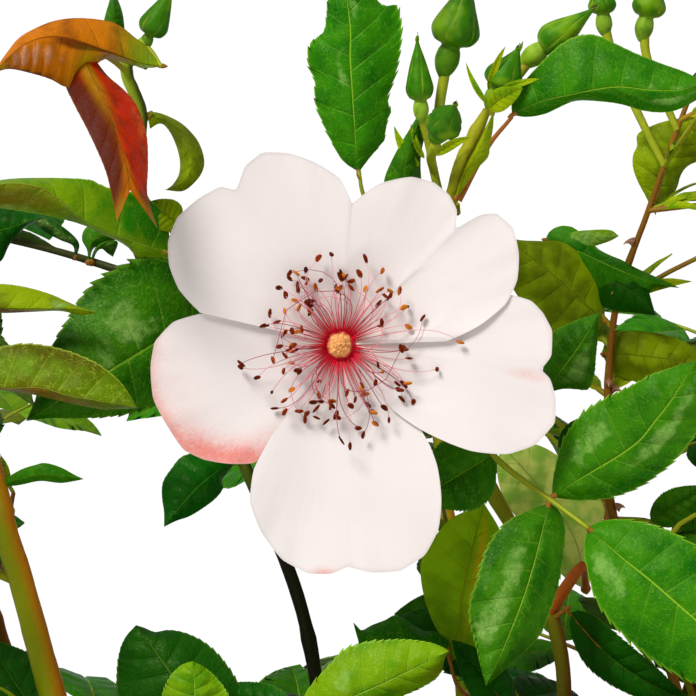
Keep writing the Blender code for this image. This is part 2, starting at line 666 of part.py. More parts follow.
def stalk_fits(leaf, name, space):
    line = leaf["stalk"]
    for point in line:
        u, v, behind = picture(point)
        if 0 < u < PICTURE_SIDE and 0 < v < PICTURE_SIDE and behind < FRONT_LAYER:
            return False
    first = line[0].lerp(line[1], 0.2)
    return space.free(*tube([first, *line[1:]], [STALK_RADIUS * 1.4] * len(line), 3), but=("cane " + name,))


# Blooms as solids


def petal_edge(points, angle):
    # Distance of a petal's edge from the middle at an angle, or 0 where the petal doesn't reach
    for (a, near), (b, far) in zip(points, points[1:]):
        for whole in (-360, 0, 360):
            if a <= angle + whole <= b:
                return near + (far - near) * (angle + whole - a) / (b - a)
    return 0.0


def bloom_edge(angle):
    return max(petal_edge(points, angle) for points in PETALS.values()) * PIXEL


def bloom_point(bloom, radius, angle, lift):
    way = bloom["right"] * math.cos(math.radians(angle)) + bloom["top"] * math.sin(math.radians(angle))
    return bloom["centre"] + way * radius + bloom["axis"] * lift


def petal_lift(bloom, radius):
    # Petals rise from the middle like a saucer, and flatten towards their edges
    share = radius / (BLOOM_WIDTH / 2)
    return bloom["cup"] * (1.5 * share - 0.5 * share**2)


def petal_plate(bloom, steps, rings, thick=0.9 * MM):
    points, faces = [], []
    for lift, order in ((0.0, 1), (-thick, -1)):
        start = len(points)
        points.append(bloom_point(bloom, 0, 0, lift))
        for ring in rings:
            for k in range(steps):
                angle = 360 * k / steps
                radius = bloom_edge(angle) * ring
                height = petal_lift(bloom, radius) + lift * (1.1 - 0.4 * ring)
                points.append(bloom_point(bloom, radius, angle, height))
        for k in range(steps):
            n = (k + 1) % steps
            faces.append((start, start + 1 + k, start + 1 + n)[::order])
            for i in range(len(rings) - 1):
                j = start + 1 + i * steps
                faces.append((j + k, j + k + steps, j + n + steps, j + n)[::order])
    low = len(points) // 2
    for k in range(steps):
        n, j = (k + 1) % steps, low - steps
        faces.append((j + k, j + k + low, j + n + low, j + n))
    return points, faces


def stamen(bloom, angle, reach, lift):
    # A filament that leaves the middle and ends in a small anther
    places = ((1.2 * MM, 0.6 * MM), (reach * 0.5, lift * 0.85), (reach, lift))
    line = [bloom_point(bloom, out, angle, height) for out, height in places]
    head = bloom_point(bloom, reach - 0.7 * MM, angle, lift)
    way = (line[2] - line[1]).normalized()
    return [
        tube(line, [0.42 * MM, 0.32 * MM, 0.3 * MM], 3),
        turned_shape(head, way, [(0, 0), (0.9 * MM, 0.75 * MM), (2.0 * MM, 0)], 4),
    ]


def bloom_pieces(bloom, steps, rings, stamens, draw):
    axis, centre = bloom["axis"], bloom["centre"]
    pieces = [petal_plate(bloom, steps, rings)]
    column = [(-1.5 * MM, 0), (-1.5 * MM, 2.9 * MM), (2.6 * MM, 2.7 * MM), (4.2 * MM, 0)]
    hip = [(-0.2 * MM, 0), (0.2 * MM, 3.4 * MM), (4.6 * MM, 3.5 * MM), (8.6 * MM, 1.3 * MM), (8.6 * MM, 0)]
    pieces += [turned_shape(centre, axis, column, 8), turned_shape(centre, -axis, hip, 6)]
    for k in range(stamens):
        angle = 360 * (k + draw.uniform(-0.25, 0.25)) / stamens
        pieces += stamen(bloom, angle, draw.uniform(10, 16) * MM, draw.uniform(3.5, 6.0) * MM)
    return pieces


def bud_pieces(bud):
    # A stalk, and a hip with its bud as one turned shape
    foot, tip = bud["stalk"][-1], bud["tip"]
    length, way = (tip - foot).length, (tip - foot).normalized()
    hip, wide = bud["widths"][0] / 2, bud["widths"][1] / 2
    profile = [(-hip, 0), (0, hip), (hip * 1.1, hip * 0.7), (hip + length * 0.22, wide)]
    profile += [(length * 0.68, wide * 0.6), (length, 0)]
    return [
        tube(bud["stalk"], [BUD_STALK_RADIUS] * len(bud["stalk"]), 3),
        turned_shape(foot, way, profile, 5),
    ]


# Objects


def material(name, colour, roughness):
    made = bpy.data.materials.new(name)
    made.use_nodes = True
    shader = made.node_tree.nodes["Principled BSDF"]
    shader.inputs["Base Color"].default_value = (*colour, 1)
    shader.inputs["Roughness"].default_value = roughness
    made.diffuse_color = (*colour, 1)
    return made


def mesh_object(name, points, faces, finish, holder=None):
    mesh = bpy.data.meshes.new(name)
    mesh.from_pydata([tuple(p) for p in points], [], faces)
    shape = bmesh.new()
    shape.from_mesh(mesh)
    bmesh.ops.triangulate(shape, faces=shape.faces[:])
    bmesh.ops.recalc_face_normals(shape, faces=shape.faces[:])
    shape.to_mesh(mesh)
    shape.free()
    mesh.materials.append(finish)
    made = bpy.data.objects.new(name, mesh)
    (holder or bpy.context.scene.collection).objects.link(made)
    return made


def joined(name, pieces, finish):
    # One solid from overlapping closed pieces, by one Boolean union on a collection
    holder = bpy.data.collections.new(name + "_pieces")
    bpy.context.scene.collection.children.link(holder)
    base = mesh_object(name, *pieces[0], finish)
    for k, piece in enumerate(pieces[1:]):
        mesh_object(f"{name}_piece_{k}", *piece, finish, holder)
    union = base.modifiers.new("union", "BOOLEAN")
    union.operation = "UNION"
    union.operand_type = "COLLECTION"
    union.collection = holder
    union.solver = "EXACT"
    graph = bpy.context.evaluated_depsgraph_get()
    whole = bpy.data.meshes.new_from_object(base.evaluated_get(graph))
    base.modifiers.clear()
    base.data = whole
    for piece in list(holder.objects):
        bpy.data.objects.remove(piece)
    bpy.data.collections.remove(holder)
    return base


def keep_largest(body):
    # Flat neighbours are merged, and only the joined solid stays: a leaf off its stalk would be a loose scrap
    shape = bmesh.new()
    shape.from_mesh(body.data)
    bmesh.ops.dissolve_limit(shape, angle_limit=math.radians(2), verts=shape.verts[:], edges=shape.edges[:])
    bmesh.ops.triangulate(shape, faces=shape.faces[:])
    left, groups = set(shape.verts), []
    while left:
        group, front = set(), [left.pop()]
        while front:
            vert = front.pop()
            group.add(vert)
            for edge in vert.link_edges:
                other = edge.other_vert(vert)
                if other in left:
                    left.discard(other)
                    front.append(other)
        groups.append(group)
    groups.sort(key=len, reverse=True)
    loose = [v for group in groups[1:] for v in group]
    bmesh.ops.delete(shape, geom=loose, context="VERTS")
    shape.to_mesh(body.data)
    shape.free()
    return len(groups) - 1


def lathe(name, profile, finish, steps):
    # Spins an outline of (radius, height) pairs round the Z axis
    shape = bmesh.new()
    ring = [shape.verts.new((r, 0, z)) for r, z in profile]
    edges = [shape.edges.new(pair) for pair in zip(ring, ring[1:] + ring[:1])]
    turn = {"cent": (0, 0, 0), "axis": UP, "angle": math.tau, "steps": steps, "use_merge": True}
    bmesh.ops.spin(shape, geom=[*ring, *edges], **turn)
    bmesh.ops.remove_doubles(shape, verts=shape.verts[:], dist=1e-6)
    bmesh.ops.recalc_face_normals(shape, faces=shape.faces[:])
    mesh = bpy.data.meshes.new(name)
    shape.to_mesh(mesh)
    shape.free()
    mesh.materials.append(finish)
    made = bpy.data.objects.new(name, mesh)
    bpy.context.scene.collection.objects.link(made)
    mesh.shade_smooth()
    mesh.set_sharp_from_angle(angle=math.radians(35))
    return made


def pot_inner(height):
    # Inner radius of the pot's wall at a height
    share = (height - POT_FLOOR) / (POT_HEIGHT - POT_FLOOR)
    return POT_FOOT_RADIUS - POT_WALL + share * (POT_MOUTH_RADIUS - POT_FOOT_RADIUS)


def make_pot(finish):
    rim_low, top, rim = POT_HEIGHT - RIM_HEIGHT, POT_HEIGHT, POT_MOUTH_RADIUS + RIM_STEP
    body_top = POT_FOOT_RADIUS + (POT_MOUTH_RADIUS - POT_FOOT_RADIUS) * rim_low / POT_HEIGHT
    profile = [
        (0, 0), (POT_FOOT_RADIUS - 2 * MM, 0), (POT_FOOT_RADIUS, 2 * MM), (body_top, rim_low),
        (rim - 2 * MM, rim_low + 1 * MM), (rim - 0.6 * MM, rim_low + 4 * MM), (rim, top - 4 * MM),
        (rim - 2.5 * MM, top), (pot_inner(top) + 2 * MM, top), (pot_inner(top), top - 2.5 * MM),
        (pot_inner(POT_FLOOR), POT_FLOOR), (0, POT_FLOOR),
    ]
    pot = lathe("pot", profile, finish, 32)
    hole = [(-POT_FLOOR, 0), (-POT_FLOOR, DRAIN_RADIUS), (POT_FLOOR, DRAIN_RADIUS), (POT_FLOOR, 0)]
    for k in range(DRAIN_HOLES):
        turn = math.tau * k / DRAIN_HOLES
        cutter = mesh_object(f"drain_cutter_{k}", *turned_shape(Vector(), UP, hole, 10), finish)
        cutter.location = (DRAIN_RING * math.cos(turn), DRAIN_RING * math.sin(turn), POT_FLOOR / 2)
        cutter.hide_render = True
        cutter.display_type = "WIRE"
        cut = pot.modifiers.new(cutter.name, "BOOLEAN")
        cut.operation = "DIFFERENCE"
        cut.object = cutter


def make_soil(finish):
    # The potting mix, as a plug a hair clear of the pot, with a slightly domed top
    low, gap = POT_FLOOR + CLEAR, 2 * CLEAR
    edge = pot_inner(SOIL_TOP) - gap
    profile = [(low, 0), (low, pot_inner(low) - gap)]
    profile += [(soil_height(edge * share), edge * share) for share in (1, 0.66, 0.33, 0)]
    mesh_object("soil", *turned_shape(Vector(), UP, profile, 28), finish)


def main():
    for old in list(bpy.data.objects):
        bpy.data.objects.remove(old)
    clay = material("terracotta", (0.42, 0.17, 0.085), 0.85)
    earth = material("soil", (0.035, 0.022, 0.015), 0.95)
    bark = material("cane", (0.14, 0.16, 0.03), 0.5)
    leafy = material("foliage", (0.03, 0.14, 0.012), 0.4)
    petal = material("petals", (0.86, 0.79, 0.76), 0.55)

    make_pot(clay)
    make_soil(earth)
    canes, blooms = plan_plant()
    leaf_count = 0
    for seed, (name, cane) in enumerate(canes.items()):
        line, radii, split = cane["line"], cane["radii"], cane["split"]
        ways = tangents(line)
        limb = tube(line[: split + 1], radii[: split + 1], CANE_SIDES, ways)
        mesh_object("cane_" + name, *limb, bark)
        stem = [line[split] + ways[split] * CLEAR, *line[split + 1 :]]
        pieces = [tube(stem, radii[split:], STEM_SIDES, ways[split:])]
        for leaf in cane["leaves"]:
            if leaf["shown"]:
                pieces.append(tube(leaf["stalk"], [STALK_RADIUS] * len(leaf["stalk"]), 3))
                pieces += [blade(found, LEAF_KEEL) for found in leaf["leaflets"]]
            else:
                pieces.append(compound_leaf(leaf))
            leaf_count += len(leaf["leaflets"])
        for bud in cane["buds"]:
            pieces += bud_pieces(bud)
        body = joined("foliage_" + name, pieces, leafy)
        scraps = keep_largest(body)
        print(name, len(cane["leaves"]), "leaves,", len(cane["buds"]), "buds,", scraps, "scraps dropped")
    for seed, bloom in enumerate(blooms):
        detail = (60, (0.34, 0.72, 1.0), 14) if bloom is blooms[0] else (32, (0.5, 1.0), 6)
        body = joined(bloom["name"], bloom_pieces(bloom, *detail, random.Random(40 + seed)), petal)
        keep_largest(body)
    print(leaf_count, "leaflets")


main()
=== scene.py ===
# Potted groundcover rose: arching canes with foliage, buds and open blooms over a clay pot of soil.
# Metres, +Z up, and the best bloom faces -Y. Canes, leaves and blooms follow the rule of the CAD source,
# with the same draws, so each stands where its solid is; finer twigs and leaves then grow on from it.

import math
import random

import bpy
import numpy as np
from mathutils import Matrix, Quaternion, Vector
from mathutils.bvhtree import BVHTree


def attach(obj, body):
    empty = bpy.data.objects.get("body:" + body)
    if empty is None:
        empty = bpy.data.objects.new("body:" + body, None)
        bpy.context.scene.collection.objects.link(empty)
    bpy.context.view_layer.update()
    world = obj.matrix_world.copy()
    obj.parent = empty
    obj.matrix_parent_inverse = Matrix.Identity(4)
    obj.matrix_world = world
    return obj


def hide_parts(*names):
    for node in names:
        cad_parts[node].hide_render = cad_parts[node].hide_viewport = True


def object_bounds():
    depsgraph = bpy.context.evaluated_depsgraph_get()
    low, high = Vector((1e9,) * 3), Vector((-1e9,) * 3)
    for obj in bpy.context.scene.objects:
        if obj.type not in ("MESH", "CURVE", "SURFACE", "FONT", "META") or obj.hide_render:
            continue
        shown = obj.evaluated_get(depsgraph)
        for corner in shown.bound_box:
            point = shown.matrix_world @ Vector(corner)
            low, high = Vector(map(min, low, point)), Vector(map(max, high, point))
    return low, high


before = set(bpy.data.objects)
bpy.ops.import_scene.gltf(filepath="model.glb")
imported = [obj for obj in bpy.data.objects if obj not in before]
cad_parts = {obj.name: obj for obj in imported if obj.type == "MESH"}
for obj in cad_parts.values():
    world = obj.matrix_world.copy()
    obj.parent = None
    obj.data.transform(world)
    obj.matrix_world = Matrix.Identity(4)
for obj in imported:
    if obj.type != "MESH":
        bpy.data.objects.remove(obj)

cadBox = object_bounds()
mm = 0.001
upward = Vector((0, 0, 1))


# Finishes


class Value:
    # A socket of a finish, so that sums on it can be written as Python

    def __init__(self, finish, socket):
        self.finish, self.socket = finish, socket

    def out(self, name):
        return Value(self.finish, self.socket.node.outputs[name])

    def maths(self, operation, *values):
        return self.finish.node("ShaderNodeMath", {"operation": operation}, dict(enumerate(values)))

    def __add__(self, other):
        return self.maths("ADD", self, other)

    def __radd__(self, other):
        return self.maths("ADD", other, self)

    def __sub__(self, other):
        return self.maths("SUBTRACT", self, other)

    def __rsub__(self, other):
        return self.maths("SUBTRACT", other, self)

    def __mul__(self, other):
        return self.maths("MULTIPLY", self, other)

    def __rmul__(self, other):
        return self.maths("MULTIPLY", other, self)

    def __abs__(self):
        return self.maths("ABSOLUTE", self)


class Finish:
    # A material, with its Principled shader and one method that makes any other node

    def __init__(self, name, same):
        self.material = bpy.data.materials.new(name)
        self.material.use_nodes = True
        self.tree = self.material.node_tree
        self.shader = self.tree.nodes["Principled BSDF"]
        for socket, value in same.items():
            self.shader.inputs[socket].default_value = value

    def node(self, kind, settings, values, output=0):
        made = self.tree.nodes.new(kind)
        for name, setting in settings.items():
            setattr(made, name, setting)
        for name, value in values.items():
            if isinstance(value, Value):
                self.tree.links.new(value.socket, made.inputs[name])
            else:
                made.inputs[name].default_value = value
        return Value(self, made.outputs[output])

    def feed(self, socket, value):
        self.tree.links.new(value.socket, self.shader.inputs[socket])

    def place(self, name="place"):
        # The place that each point of a joined mesh keeps: across, along, and a chance for the whole shape
        stored = self.node("ShaderNodeAttribute", {"attribute_name": name}, {}, "Vector")
        return self.node("ShaderNodeSeparateXYZ", {}, {"Vector": stored})

    def where(self):
        return self.node("ShaderNodeTexCoord", {}, {}, "Object")

    def mix(self, share, first, second):
        # Between two colours, each from the tree or as three numbers of a paint chart
        first, second = (shade(*c) if isinstance(c, tuple) else c for c in (first, second))
        return self.node("ShaderNodeMix", {"data_type": "RGBA"}, {0: share, 6: first, 7: second}, 2)

    def rise(self, value, low, high):
        # 0 below low, 1 above high, and a soft step between them
        limits = {"Value": value, "From Min": low, "From Max": high}
        return self.node("ShaderNodeMapRange", {"interpolation_type": "SMOOTHSTEP"}, limits)

    def noise(self, scale, detail=3.0, roughness=0.5, at=None):
        values = {"Vector": at or self.where(), "Scale": scale, "Detail": detail, "Roughness": roughness}
        return self.node("ShaderNodeTexNoise", {}, values, "Fac")

    def cells(self, scale):
        # How far it is to the nearest edge between small cells
        values = {"Vector": self.where(), "Scale": scale}
        return self.node("ShaderNodeTexVoronoi", {"feature": "DISTANCE_TO_EDGE"}, values, "Distance")

    def stretched(self, *shares):
        return self.node("ShaderNodeVectorMath", {"operation": "MULTIPLY"}, {0: self.where(), 1: shares})

    def vary(self, colour, hue, value):
        # Shifts a colour's hue and brightness
        return self.node("ShaderNodeHueSaturation", {}, {"Color": colour, "Hue": hue, "Value": value})

    def relief(self, height, depth):
        self.feed("Normal", self.node("ShaderNodeBump", {}, {"Height": height, "Distance": depth}))


def shade(red, green, blue):
    # A colour as a paint chart gives it, 0 to 255, turned into the light it reflects
    linear = [c / 255 / 12.92 if c < 11 else ((c / 255 + 0.055) / 1.055) ** 2.4 for c in (red, green, blue)]
    return (*linear, 1.0)


# Meshes


def array(vector):
    return np.array(tuple(vector))


def fullTurn(count):
    # Angles of a ring of points
    return np.arange(count) * 2 * np.pi / count


def roundWays(angles, side, top):
    # Directions round an axis, from the two that are square to it
    return np.cos(angles)[..., None] * array(side) + np.sin(angles)[..., None] * array(top)


def gridFaces(rows, columns, around=False, flip=False):
    # Quads of a grid of points, row by row; around closes each row into a ring
    index = np.arange(rows * columns).reshape(rows, columns)
    if around:
        index = np.hstack([index, index[:, :1]])
    a, b, c, d = index[:-1, :-1], index[:-1, 1:], index[1:, 1:], index[1:, :-1]
    order = (a, d, c, b) if flip else (a, b, c, d)
    return np.stack(order, -1).reshape(-1, 4)


class Heap:
    # Gathers many small shapes of one kind, which become one mesh

    def __init__(self):
        self.points, self.places, self.quads, self.triangles, self.size = [], [], [], [], 0

    def add(self, points, places, quads, triangles=()):
        self.points.append(points)
        self.places.append(places)
        self.quads.append(quads + self.size)
        if len(triangles):
            self.triangles.append(np.array(triangles) + self.size)
        self.size += len(points)

    def grid(self, points, places, around=False, flip=False, caps=()):
        # A sheet from rows of points, and what each point keeps in each of its places
        rows, columns = points.shape[:2]
        places = np.stack(np.broadcast_arrays(*places, points[..., 0])[:-1], -1)
        faces = gridFaces(rows, columns, around, flip)
        self.add(points.reshape(-1, 3), places.reshape(rows * columns, -1), faces, caps)

    def piece(self, name, finish, slot, *nodes):
        points, places = np.concatenate(self.points), np.concatenate(self.places)
        quads = np.concatenate(self.quads)
        threes = np.concatenate(self.triangles) if self.triangles else np.zeros((0, 3), int)
        corners = np.concatenate([quads.ravel(), threes.ravel()])
        sizes = np.repeat((4, 3), (len(quads), len(threes)))
        mesh = bpy.data.meshes.new(name)
        mesh.vertices.add(len(points))
        mesh.vertices.foreach_set("co", points.astype(np.float32).ravel())
        mesh.loops.add(len(corners))
        mesh.loops.foreach_set("vertex_index", corners.astype(np.int32))
        mesh.polygons.add(len(sizes))
        mesh.polygons.foreach_set("loop_start", (np.cumsum(sizes) - sizes).astype(np.int32))
        mesh.polygons.foreach_set("loop_total", sizes.astype(np.int32))
        mesh.update(calc_edges=True)
        # A leaflet also keeps its painted light, painted sheen and painted shade, and its flush of the second
        # colour
        for label, kept in (("place", places[:, :3]), ("patch", places[:, 3:])):
            if kept.size:
                stored = mesh.attributes.new(label, "FLOAT_VECTOR", "POINT")
                kept = np.pad(kept, ((0, 0), (0, 3 - kept.shape[1])))
                stored.data.foreach_set("vector", kept.astype(np.float32).ravel())
        mesh.shade_smooth()
        mesh.materials.append(finish.material)
        made = bpy.data.objects.new(name, mesh)
        bpy.context.scene.collection.objects.link(made)
        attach(made, "root")
        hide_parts(*nodes)
        print(f"{name}: {len(quads) * 2 + len(threes)} triangles")
        return made


# Where the picture is taken from: a nearly level look at the front of the crown

view = {
    "pictureSide": 696,
    "bloomAcross": 401,  # points of the picture across the best bloom, which gives the scale
    "middle": Vector((-33, -90, 335)) * mm,
    "distance": 600 * mm,
    "elevation": 10,
    "sensor": 36,
}
bloomWidth = 75 * mm
pixel = bloomWidth / view["bloomAcross"]
pictureSide, viewDistance = view["pictureSide"], view["distance"]
pictureMiddle = pictureSide / 2
viewElevation = math.radians(view["elevation"])
look = Vector((0, math.cos(viewElevation), -math.sin(viewElevation)))
pictureUp = Vector((0, math.sin(viewElevation), math.cos(viewElevation)))
pictureRight = Vector((1, 0, 0))
eye = view["middle"] - look * viewDistance
frontLayer = 36 * mm

pot = {
    "height": 150 * mm, "footRadius": 59 * mm, "mouthRadius": 80 * mm, "wall": 6.5 * mm, "floor": 8 * mm,
    "rimHeight": 27 * mm, "rimStep": 5 * mm, "drainRadius": 5 * mm, "drainRing": 27 * mm, "drainHoles": 3,
}
soil = {"top": 135 * mm, "dome": 3 * mm}
clear = 0.3 * mm
caneRule = {"step": 19 * mm}
leafRule = {
    "stalkRadius": 0.8 * mm, "length": 33 * mm, "shape": 0.6, "sunkRoot": 1.2 * mm, "reach": 56 * mm,
    "step": 25 * mm, "turn": 137.5, "testKeel": 1.8 * mm, "testGap": 3 * mm, "margin": 14,
    "tries": 9, "fewest": 3,  # places tried for a leaf, and leaflets that have to fit
}
budRule = {"length": 15 * mm, "width": 7.6 * mm, "hipWidth": 4.2 * mm}


def seen(u, v, behind):
    # The place that shows at picture point (u, v), so many millimetres behind the bloom
    far = viewDistance + behind * mm
    spread = pixel * far / viewDistance
    across = (u - pictureMiddle) * spread
    up = (pictureMiddle - v) * spread
    return eye + look * far + pictureRight * across + pictureUp * up


def picture(point):
    # The picture point of a place, and how far it is behind the bloom
    offset = point - eye
    far = offset.dot(look)
    spread = pixel * far / viewDistance
    u = pictureMiddle + offset.dot(pictureRight) / spread
    v = pictureMiddle - offset.dot(pictureUp) / spread
    return u, v, far - viewDistance


def inFront(points):
    # Whether any of the places lies before or among what the picture shows
    spots = (picture(point) for point in points)
    return any(0 < u < pictureSide and 0 < v < pictureSide and behind < frontLayer for u, v, behind in spots)


# The picture's open sky, as discs of (u, v, radius), kept clear right through the crown
openSky = [
    (25, 130, 48), (55, 170, 22), (235, 70, 78), (205, 170, 26), (345, 190, 12), (412, 30, 24),
    (400, 85, 18), (505, 15, 26), (555, 165, 55), (615, 185, 42), (545, 210, 30), (495, 185, 25),
    (665, 245, 34), (690, 290, 26), (620, 20, 14), (672, 45, 12), (30, 265, 22), (70, 270, 18),
    (25, 330, 18), (60, 328, 14), (40, 445, 22), (90, 500, 62), (70, 580, 48), (140, 560, 68),
    (205, 590, 70), (225, 520, 34), (255, 640, 36), (95, 640, 22), (340, 605, 32), (375, 590, 24),
    (400, 590, 24), (330, 650, 18), (600, 660, 32), (630, 680, 24), (680, 470, 16),
]


# Canes. Those that the picture shows go through its points; the others arch out by a rule.
# foot: azimuth in degrees and distance in mm from the middle. radii: mm at the foot and the tip.
# bare: share of the cane that has no leaves and is its limb.
shownCanes = {
    "left": {
        "foot": (212, 30), "radii": (3.3, 1.3), "bare": 0.24,
        "points": [(60, 800, -2), (50, 700, -2), (21, 590, -2), (-4, 480, -2), (-30, 385, 0), (-62, 290, 4),
                   (-84, 200, 8)],
    },
    "shoot": {
        "foot": (236, 17), "radii": (2.3, 0.8), "bare": 0.26,
        "points": [(335, 800, 23), (318, 690, 21), (293, 580, 20), (243, 462, 20), (212, 380, 20),
                   (192, 300, 19), (172, 235, 14), (149, 165, 8), (146, 122, 5), (133, 92, 4), (126, 68, 3),
                   (146, 42, 1)],
    },
    "buds": {
        "foot": (292, 20), "radii": (2.2, 1.1), "bare": 0.26,
        "points": [(562, 800, 25), (560, 690, 25), (557, 615, 25), (512, 527, 26), (485, 478, 27),
                   (462, 400, 25), (452, 330, 21), (450, 262, 13), (456, 212, 9), (466, 175, 8),
                   (480, 140, 8), (495, 103, 8)],
    },
    "right": {
        "foot": (338, 25), "radii": (2.2, 0.8), "bare": 0.24,
        "points": [(690, 800, 30), (677, 690, 32), (640, 600, 37), (611, 510, 40), (607, 440, 42),
                   (608, 380, 42), (608, 330, 42), (632, 262, 42), (650, 205, 42), (662, 165, 42),
                   (690, 98, 41), (716, 30, 40)],
    },
    "low": {
        "foot": (262, 31), "radii": (2.4, 1.3), "bare": 0.42,
        "points": [(350, 900, 4), (340, 815, 6), (318, 768, 6)],
    },
}
# arch: azimuth in degrees, reach and rise of the tip in mm, and how far the cane bulges up, of its rise
archedCanes = {
    "front_right": {"foot": (312, 34), "arch": (303, 118, 92, 0.34), "radii": (2.6, 1.0), "bare": 0.24},
    "right_front": {"foot": (2, 30), "arch": (332, 150, 172, 0.16), "radii": (3.0, 1.1), "bare": 0.24},
    "right_side": {"foot": (25, 19), "arch": (14, 150, 222, 0.1), "radii": (3.2, 1.1), "bare": 0.22},
    "right_back": {"foot": (52, 31), "arch": (46, 142, 180, 0.14), "radii": (3.0, 1.1), "bare": 0.22},
    "back": {"foot": (88, 22), "arch": (98, 126, 168, 0.2), "radii": (3.3, 1.1), "bare": 0.22},
    "back_left": {"foot": (126, 31), "arch": (145, 176, 196, -0.34), "radii": (3.0, 1.1), "bare": 0.22},
    "left_back": {"foot": (162, 20), "arch": (169, 172, 150, 0.0), "radii": (3.1, 1.1), "bare": 0.22},
    "left_low": {"foot": (184, 33), "arch": (194, 152, 116, 0.24), "radii": (2.7, 1.0), "bare": 0.24},
    "front_left": {"foot": (238, 37), "arch": (236, 112, 80, 0.36), "radii": (2.4, 1.0), "bare": 0.26},
}

# Blooms. The shown one faces the eye; the others stand on the tips of their canes.
shownBloom = {"name": "bloom_front", "picture": (340, 345, 3), "spin": 0, "cup": 4.0}
otherBlooms = {
    "right_front": {"name": "bloom_right", "tilt": 52, "turn": 4, "spin": 100, "cup": 8},
    "right_back": {"name": "bloom_back_right", "tilt": 40, "turn": -10, "spin": 210, "cup": 10},
    "left_back": {"name": "bloom_back_left", "tilt": 50, "turn": -10, "spin": 40, "cup": 9},
    "left_low": {"name": "bloom_left", "tilt": 55, "turn": -8, "spin": 290, "cup": 8},
}

# Outline of each petal: (degrees anticlockwise from the right, distance from the middle in picture points)
petalOutlines = {
    "upper_left": [(85, 141), (90, 166), (97, 182), (105, 198), (112, 207), (118, 202), (122, 190),
        (124, 186), (127, 198), (134, 203), (142, 206), (149, 200), (155, 188), (161, 170), (167, 143)],
    "upper_right": [(2, 106), (8, 141), (14, 171), (20, 188), (27, 200), (34, 208), (40, 204), (43, 190),
        (45, 162), (49, 178), (54, 185), (60, 187), (67, 182), (76, 166), (85, 141)],
    "right": [(-51, 83), (-46, 119), (-44, 132), (-39, 168), (-33, 200), (-27, 219), (-20, 228), (-14, 222),
        (-9, 212), (-7, 202), (-3, 211), (4, 212), (9, 205), (13, 196), (16, 180), (20, 150)],
    "bottom": [(-127, 112), (-125, 150), (-120, 180), (-113, 202), (-105, 222), (-98, 230), (-92, 228),
        (-88, 221), (-82, 229), (-75, 233), (-68, 226), (-62, 209), (-57, 186), (-51, 154), (-48, 134),
        (-46, 114)],
    "left": [(163, 110), (167, 141), (172, 168), (179, 185), (186, 190), (196, 194), (206, 190), (214, 188),
        (220, 178), (228, 160), (234, 146), (238, 118)],
}

